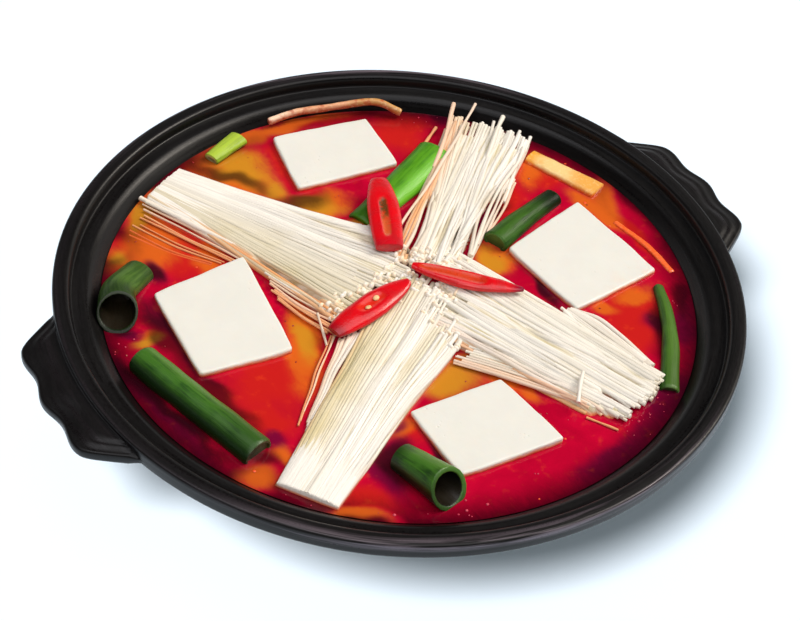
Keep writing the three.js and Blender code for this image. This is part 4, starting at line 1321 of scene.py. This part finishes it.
def chili_finish(name, s, inside, tips, first, last):
    """Glossy red skin; the slot shows its inside colours, first by its near end, then by its far end."""
    look = Finish(name, subsurface_weight=0.12, subsurface_radius=(1.0, 0.25, 0.15),
                  subsurface_scale=0.0015, specular_ior_level=0.4, coat_weight=0.2, coat_roughness=0.14)
    share, cloud, fibre = look.value("share"), look.noise(160), look.noise(600)
    look.tone = mix(cloud.fade(0.35, 0.75, 0.0, 0.6), s.skin, darker(s.skin, 0.62))
    look.paint(share.fade(0.0, 0.16, tips[0], 0.0), "#6e0416")
    look.paint(share.fade(0.84, 1.0, 0.0, tips[1]), "#6e0a2e")
    flesh = mix((share + (cloud - 0.5) * 0.3).fade(0.5, 0.68), first, last)
    flesh = mix(fibre.fade(0.45, 0.7, 0.0, 0.6), flesh, s.flesh)
    look.paint(look.value("hollow").fade(0.1, 0.6, 0.0, inside), flesh)
    return look.done(cloud.fade(0.3, 0.7, 0.2, 0.32), fibre.relief(0.00025, 0.4))


class HOTPOT_OT_chili(bpy.types.Operator):
    """Lays the three slices of chili with their seeds"""
    bl_idname = "hotpot.chili"
    bl_label = "Chili slices"

    def execute(self, context):
        s = context.scene.hotpot_chili
        finishes = {
            "chili_back": ("red_chili_back", s, 0.9, (0.2, 0.2), "#4c3c14", "#c4582a"),
            "chili_left": ("red_chili_left", s, 0.45, (0.7, 0.1), s.flesh, s.flesh),
            "chili_right": ("red_chili_right", s, 0.9, (0.1, 0.9), "#c63e1a", "#b82814"),
        }
        seeds = []
        for seed, (node, plan) in enumerate(CHILI.items(), start=3):
            body, finish = chili_body(plan, seed), chili_finish(*finishes[node])
            settle(piece(node.replace("chili", "chili_slice"), *body, finish), "chili", node)
            for share, across in plan["seeds"]:
                out = across * chili_width(plan, share)
                seeds.append(ring(Route(plan["path"]), share, [out], [plan["thick"] - 0.7])[0])
        seed_finish = patchy("chili_seed", s.seed, darker(s.seed, 0.7), 900, (0.3, 0.7), (0.3, 0.45),
                             (0.0002, 0.5), specular=0.4)
        settle(scattered("chili_seeds", seeds, [1.0] * len(seeds), size=s.seed_size, stretch=1.25,
                         flatness=0.42, tilt=0.35, seed=5, finish=seed_finish), "chili")
        return {"FINISHED"}


# ---- carrot, mushroom and what floats ---------------------------------------------------------
BAR_SIDES = 28
BAR_ROUGH = 0.18
BAR_END = (0.5, 0.8)  # sizes of the rings that close a bar
DROPLET_COUNT = 90
FLAKE_COUNT = 90
STREWN_RADIUS = 119
BUBBLE_SIZE = 0.0007


def bar_body(plan, steps=40, power=3.2, seed=0):
    """A bar with soft square edges along its path."""
    route = Route(plan["path"])
    cos, sin = np.cos(turns(BAR_SIDES)), np.sin(turns(BAR_SIDES))
    rings = []
    shares = [0.0, 0.0, *np.linspace(0.012, 0.988, steps), 1.0, 1.0]
    for share, size in zip(shares, (*BAR_END, *[1.0] * steps, *BAR_END[::-1])):
        bump = [BAR_ROUGH * wobble((share * route.length, 5 * c, 5 * n), 5, seed) for c, n in zip(cos, sin)]
        wide, high = ((between(plan[key], share) + bump) * size for key in ("wide", "high"))
        rings.append(ring(route, share, wide * boxy(cos, 2 / power), high * boxy(sin, 2 / power)))
    return tube(rings, side=cos, top=sin, share=column(np.linspace(0, 1, len(rings))))


def two_tone(name, upper, lower, low, high, flecks, tips=None, stained=0.0, by_top=False):
    """A moist piece, paler on top as a painted highlight and stained near the broth, from low to high in mm
    above it.

    The tips are its colours at its start and its end, and stained is how strong the specks of the lower
    colour are on it. With by_top, low and high say how far it faces up, and the painted highlight lies
    where it faces up.
    """
    look = Finish(name, subsurface_weight=0.1, subsurface_radius=(1.0, 0.6, 0.3), subsurface_scale=0.001,
                  specular_ior_level=0.4, coat_weight=0.1, coat_roughness=0.15)
    patch, fibre = look.noise(140, 4.0), look.noise(700)
    # painted highlight: the paler upper colour takes the top, by how far it faces up, else by height
    if by_top:
        dry = (look.value("top") + patch * 1.4).fade(low, high)
    else:
        dry = (look.axes()[2] + patch * 0.0012).fade(BROTH_LEVEL + low * MM, BROTH_LEVEL + high * MM)
    if tips:
        share = look.value("share") + (patch - 0.5) * 0.3
        upper = mix(share.fade(0.05, 0.3), tips[0], upper)
        upper = mix(share.fade(0.5, 0.75), upper, tips[1])
        upper = mix(look.noise(210).fade(0.5, 0.62, 0.0, stained), upper, lower)
    look.tone = mix(dry, lower, upper)
    look.paint(fibre.fade(0.5, 0.72, 0.0, 0.35), flecks)
    return look.done(patch.fade(0.3, 0.7, 0.26, 0.4), fibre.relief(0.0003, 0.4))


def open_broth(places, margin):
    """The places, in mm, that have bare broth all round them."""
    trees = []
    for name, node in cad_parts.items():
        if name not in ("broth", "pot"):
            mesh = node.data
            points, faces = [v.co for v in mesh.vertices], [p.vertices for p in mesh.polygons]
            trees.append(BVHTree.FromPolygons(points, faces))
    down, above = Vector((0, 0, -1)), 0.1
    free = []
    for place in places:
        x, y, _ = place
        around = [(0, 0), (margin, 0), (-margin, 0), (0, margin), (0, -margin)]
        starts = [Vector(((x + dx) * MM, (y + dy) * MM, above)) for dx, dy in around]
        if not any(tree.ray_cast(start, down)[0] for start in starts for tree in trees):
            free.append(place)
    return free


def strewn(count, rng, height):
    """Places all over the broth, in mm."""
    places = []
    for _ in range(count):
        reach, turn = STREWN_RADIUS * math.sqrt(rng.random()), rng.uniform(0, 2 * math.pi)
        places.append((reach * math.cos(turn), reach * math.sin(turn), height))
    return places


def bubble_places(rng):
    """The places of the bubbles in their clusters, in mm."""
    places = []
    for x, y, spread, count in BUBBLES:
        places += [(x + rng.gauss(0, spread), y + rng.gauss(0, spread), 0.0) for _ in range(count)]
    return [place for place in places if math.hypot(*place[:2]) < STREWN_RADIUS + 1]


def float_bits(name, slot, places, margin, rng, least, power, **inputs):
    """Bits on the bare broth, from the least share of the full size up; a high power makes most small."""
    places = open_broth(places, margin)
    shares = [least + (1 - least) * rng.random() ** power for _ in places]
    settle(scattered(name, places, shares, **inputs), slot)


class HOTPOT_OT_garnish(bpy.types.Operator):
    """Adds the carrot, the mushroom strip, oil droplets, chili flakes and bubbles"""
    bl_idname = "hotpot.garnish"
    bl_label = "Garnish and small bits"

    def execute(self, context):
        s = context.scene.hotpot_garnish
        stick = two_tone("moist_carrot", s.carrot, "#dc5c1a", 0.8, 2.5, "#f2dca4", ("#e09c30", "#e2a44c"))
        sliver = two_tone("soaked_carrot", "#e8632a", "#cf2a1c", 0.2, 1.2, "#f09a5a")
        for seed, ((node, plan), finish) in enumerate(zip(CARROT.items(), (stick, sliver))):
            name = node.replace("carrot", "carrot_cut")
            settle(piece(name, *bar_body(plan, seed=seed), finish), "carrot", node)
        mushroom = two_tone("moist_mushroom", s.mushroom, "#b04a26", 0.1, 1.5, "#ecd0ac",
                            ("#e8c8ac", "#c08c4c"), stained=0.75, by_top=True)
        body = bar_body(MUSHROOM, steps=70, power=2.4, seed=9)
        settle(piece("mushroom_slice", *body, mushroom), "mushroom", "mushroom_strip")

        rng = random.Random(77)
        float_bits("oil_droplets", "broth", strewn(DROPLET_COUNT, rng, 0.0), 1.6, rng, 0.25, 3,
                   size=s.droplet, flatness=0.22, tilt=0.02, seed=3,
                   finish=two_tone("oil_droplet", "#ee5a22", "#d03014", -1, 2, "#f39a4a"))
        float_bits("chili_flakes", "chili", strewn(FLAKE_COUNT, rng, 0.12), 1.2, rng, 0.35, 1,
                   size=s.flake, stretch=1.5, flatness=0.3, segments=6, tilt=0.3, seed=8,
                   finish=two_tone("chili_flake", "#8e0a10", "#6a0810", -1, 1, "#c32a1a"))
        float_bits("broth_bubbles", "broth", bubble_places(rng), 0.8, rng, 0.3, 2,
                   size=BUBBLE_SIZE, flatness=0.75, tilt=0.02, seed=6,
                   finish=two_tone("broth_bubble", "#c02a48", "#981434", -1, 1, "#e0707c"))
        return {"FINISHED"}


# ---- stage ------------------------------------------------------------------------------------
# the camera: where it stands, which way it looks and its upward direction
CAMERA_AT = (-0.31429, -0.47243, 0.58011)
CAMERA_AHEAD = (0.40259, 0.60447, -0.68742)
CAMERA_UP = (0.28967, 0.62825, 0.72208)
CAMERA_LENS = 85.42
CAMERA_SENSOR = 36.0

# distant lights: where from, power, spread, tint, and the only objects each one lights or leaves out
LIGHTS = {
    "floor_light": ((-0.64, -0.324, 1), 4.3, 0.33, "#f2f9ff", "INCLUDE", ["pale_floor"]),
    "floor_fill": ((0, 0, 1), 0.56, 0.5, "#d6eff9", "INCLUDE", ["pale_floor"]),
    "overhead_light": ((0, 0, 1), 1.39, 0.95, "#fafaff", "EXCLUDE", ["pale_floor"]),
    "key_light": ((0.72, -0.1, 0.78), 2.7, 0.5, "#fff6ea", "EXCLUDE", ["pale_floor"]),
    "front_light": ((-0.3, -0.6, 0.74), 1.0, 0.6, "#fffaf4", "EXCLUDE", ["pale_floor", "black_pot"]),
}
WORLD_STRENGTH = 2.3
WORLD_STOPS = ((0.0, 0.32), (0.3, 0.3), (0.42, 0.006), (1.0, 0.006))  # from the horizon up: height and level


def aim(obj, at, ahead, up=(0, 0, 1)):
    """Stands an object at a place, looking ahead along its own -Z."""
    back = -Vector(ahead).normalized()
    right = Vector(up).cross(back).normalized()
    turn = Matrix((right, back.cross(right), back)).transposed()
    obj.matrix_world = Matrix.Translation(at) @ turn.to_4x4()


def sun_light(name, toward, power, spread, tint, state, names):
    """A soft distant light that reaches only the named objects, or all but these."""
    data = bpy.data.lights.new(name, "SUN")
    data.energy, data.angle, data.color = power, spread, linear(tint)
    light = bpy.data.objects.new(name, data)
    bpy.context.scene.collection.objects.link(light)
    aim(light, Vector(toward).normalized() * 2, -Vector(toward))
    group = bpy.data.collections.new(name + "_group")
    for other in names:
        group.objects.link(bpy.data.objects[other])
    light.light_linking.receiver_collection = group
    for member in group.collection_objects:
        member.light_linking.link_state = state


def studio_world():
    """Soft surroundings: pale near the horizon and dark above, so that black stays black."""
    world = bpy.data.worlds.new("studio")
    world.use_nodes = True
    tree = world.node_tree
    way = signal(tree, "ShaderNodeTexCoord", output="Generated")
    ramp = add(tree, "ShaderNodeValToRGB", {0: signal(tree, "ShaderNodeSeparateXYZ", {0: way}, output=2)})
    stops = ramp.color_ramp.elements
    while len(stops) < len(WORLD_STOPS):
        stops.new(0.5)
    for stop, (place, level) in zip(stops, WORLD_STOPS):
        stop.position = place
        stop.color = (level * 0.98, level * 0.98, level, 1)
    background = tree.nodes["Background"]
    feed(background.inputs["Color"], Signal(ramp))
    feed(background.inputs["Strength"], WORLD_STRENGTH)
    bpy.context.scene.world = world


def camera():
    """The camera at the viewing angle."""
    obj = bpy.data.objects.new("camera", bpy.data.cameras.new("camera"))
    bpy.context.scene.collection.objects.link(obj)
    obj.data.lens, obj.data.sensor_width = CAMERA_LENS, CAMERA_SENSOR
    obj.data.clip_start, obj.data.clip_end = 0.05, 20
    aim(obj, CAMERA_AT, CAMERA_AHEAD, CAMERA_UP)
    return obj


class HOTPOT_OT_stage(bpy.types.Operator):
    """Sets the pale floor, the soft lights and the camera"""
    bl_idname = "hotpot.stage"
    bl_label = "Floor, light and camera"

    def execute(self, context):
        s = context.scene.hotpot_stage
        half = s.floor_size / 2
        look = Finish("pale_floor", roughness=0.8, specular_ior_level=0.1)
        finish = look.set(base_color=mix(look.noise(3, 2.0), s.floor, darker(s.floor, 0.985)))
        corners = [(-half, -half, 0), (half, -half, 0), (half, half, 0), (-half, half, 0)]
        floor = piece("pale_floor", corners, [[0, 1, 2, 3]], {}, finish)
        studio_world()
        for name, light in LIGHTS.items():
            sun_light(name, *light)
        bpy.data.lights["floor_fill"].use_shadow = False
        context.scene.camera = camera()
        context.scene.view_settings.view_transform = "Standard"
        return {"FINISHED"}


# ---- add-on -----------------------------------------------------------------------------------
STEPS = (HOTPOT_OT_pot, HOTPOT_OT_broth, HOTPOT_OT_tofu, HOTPOT_OT_enoki, HOTPOT_OT_greens, HOTPOT_OT_chili,
         HOTPOT_OT_garnish, HOTPOT_OT_stage)


class HOTPOT_PT_panel(bpy.types.Panel):
    """Lists the steps that build the hot pot"""
    bl_idname = "HOTPOT_PT_panel"
    bl_label = "Hot Pot"
    bl_space_type = "VIEW_3D"
    bl_region_type = "UI"
    bl_category = "Hot Pot"

    def draw(self, context):
        for step in STEPS:
            self.layout.operator(step.bl_idname)


CLASSES = (*SETTINGS.values(), *STEPS, HOTPOT_PT_panel)


def register():
    for kind in CLASSES:
        bpy.utils.register_class(kind)
    for name, kind in SETTINGS.items():
        setattr(bpy.types.Scene, name, bpy.props.PointerProperty(type=kind))


def unregister():
    for name in SETTINGS:
        delattr(bpy.types.Scene, name)
    for kind in reversed(CLASSES):
        bpy.utils.unregister_class(kind)


def main():
    register()
    for step in STEPS:
        group, action = step.bl_idname.split(".")
        getattr(getattr(bpy.ops, group), action)()


if __name__ == "__main__":
    main()
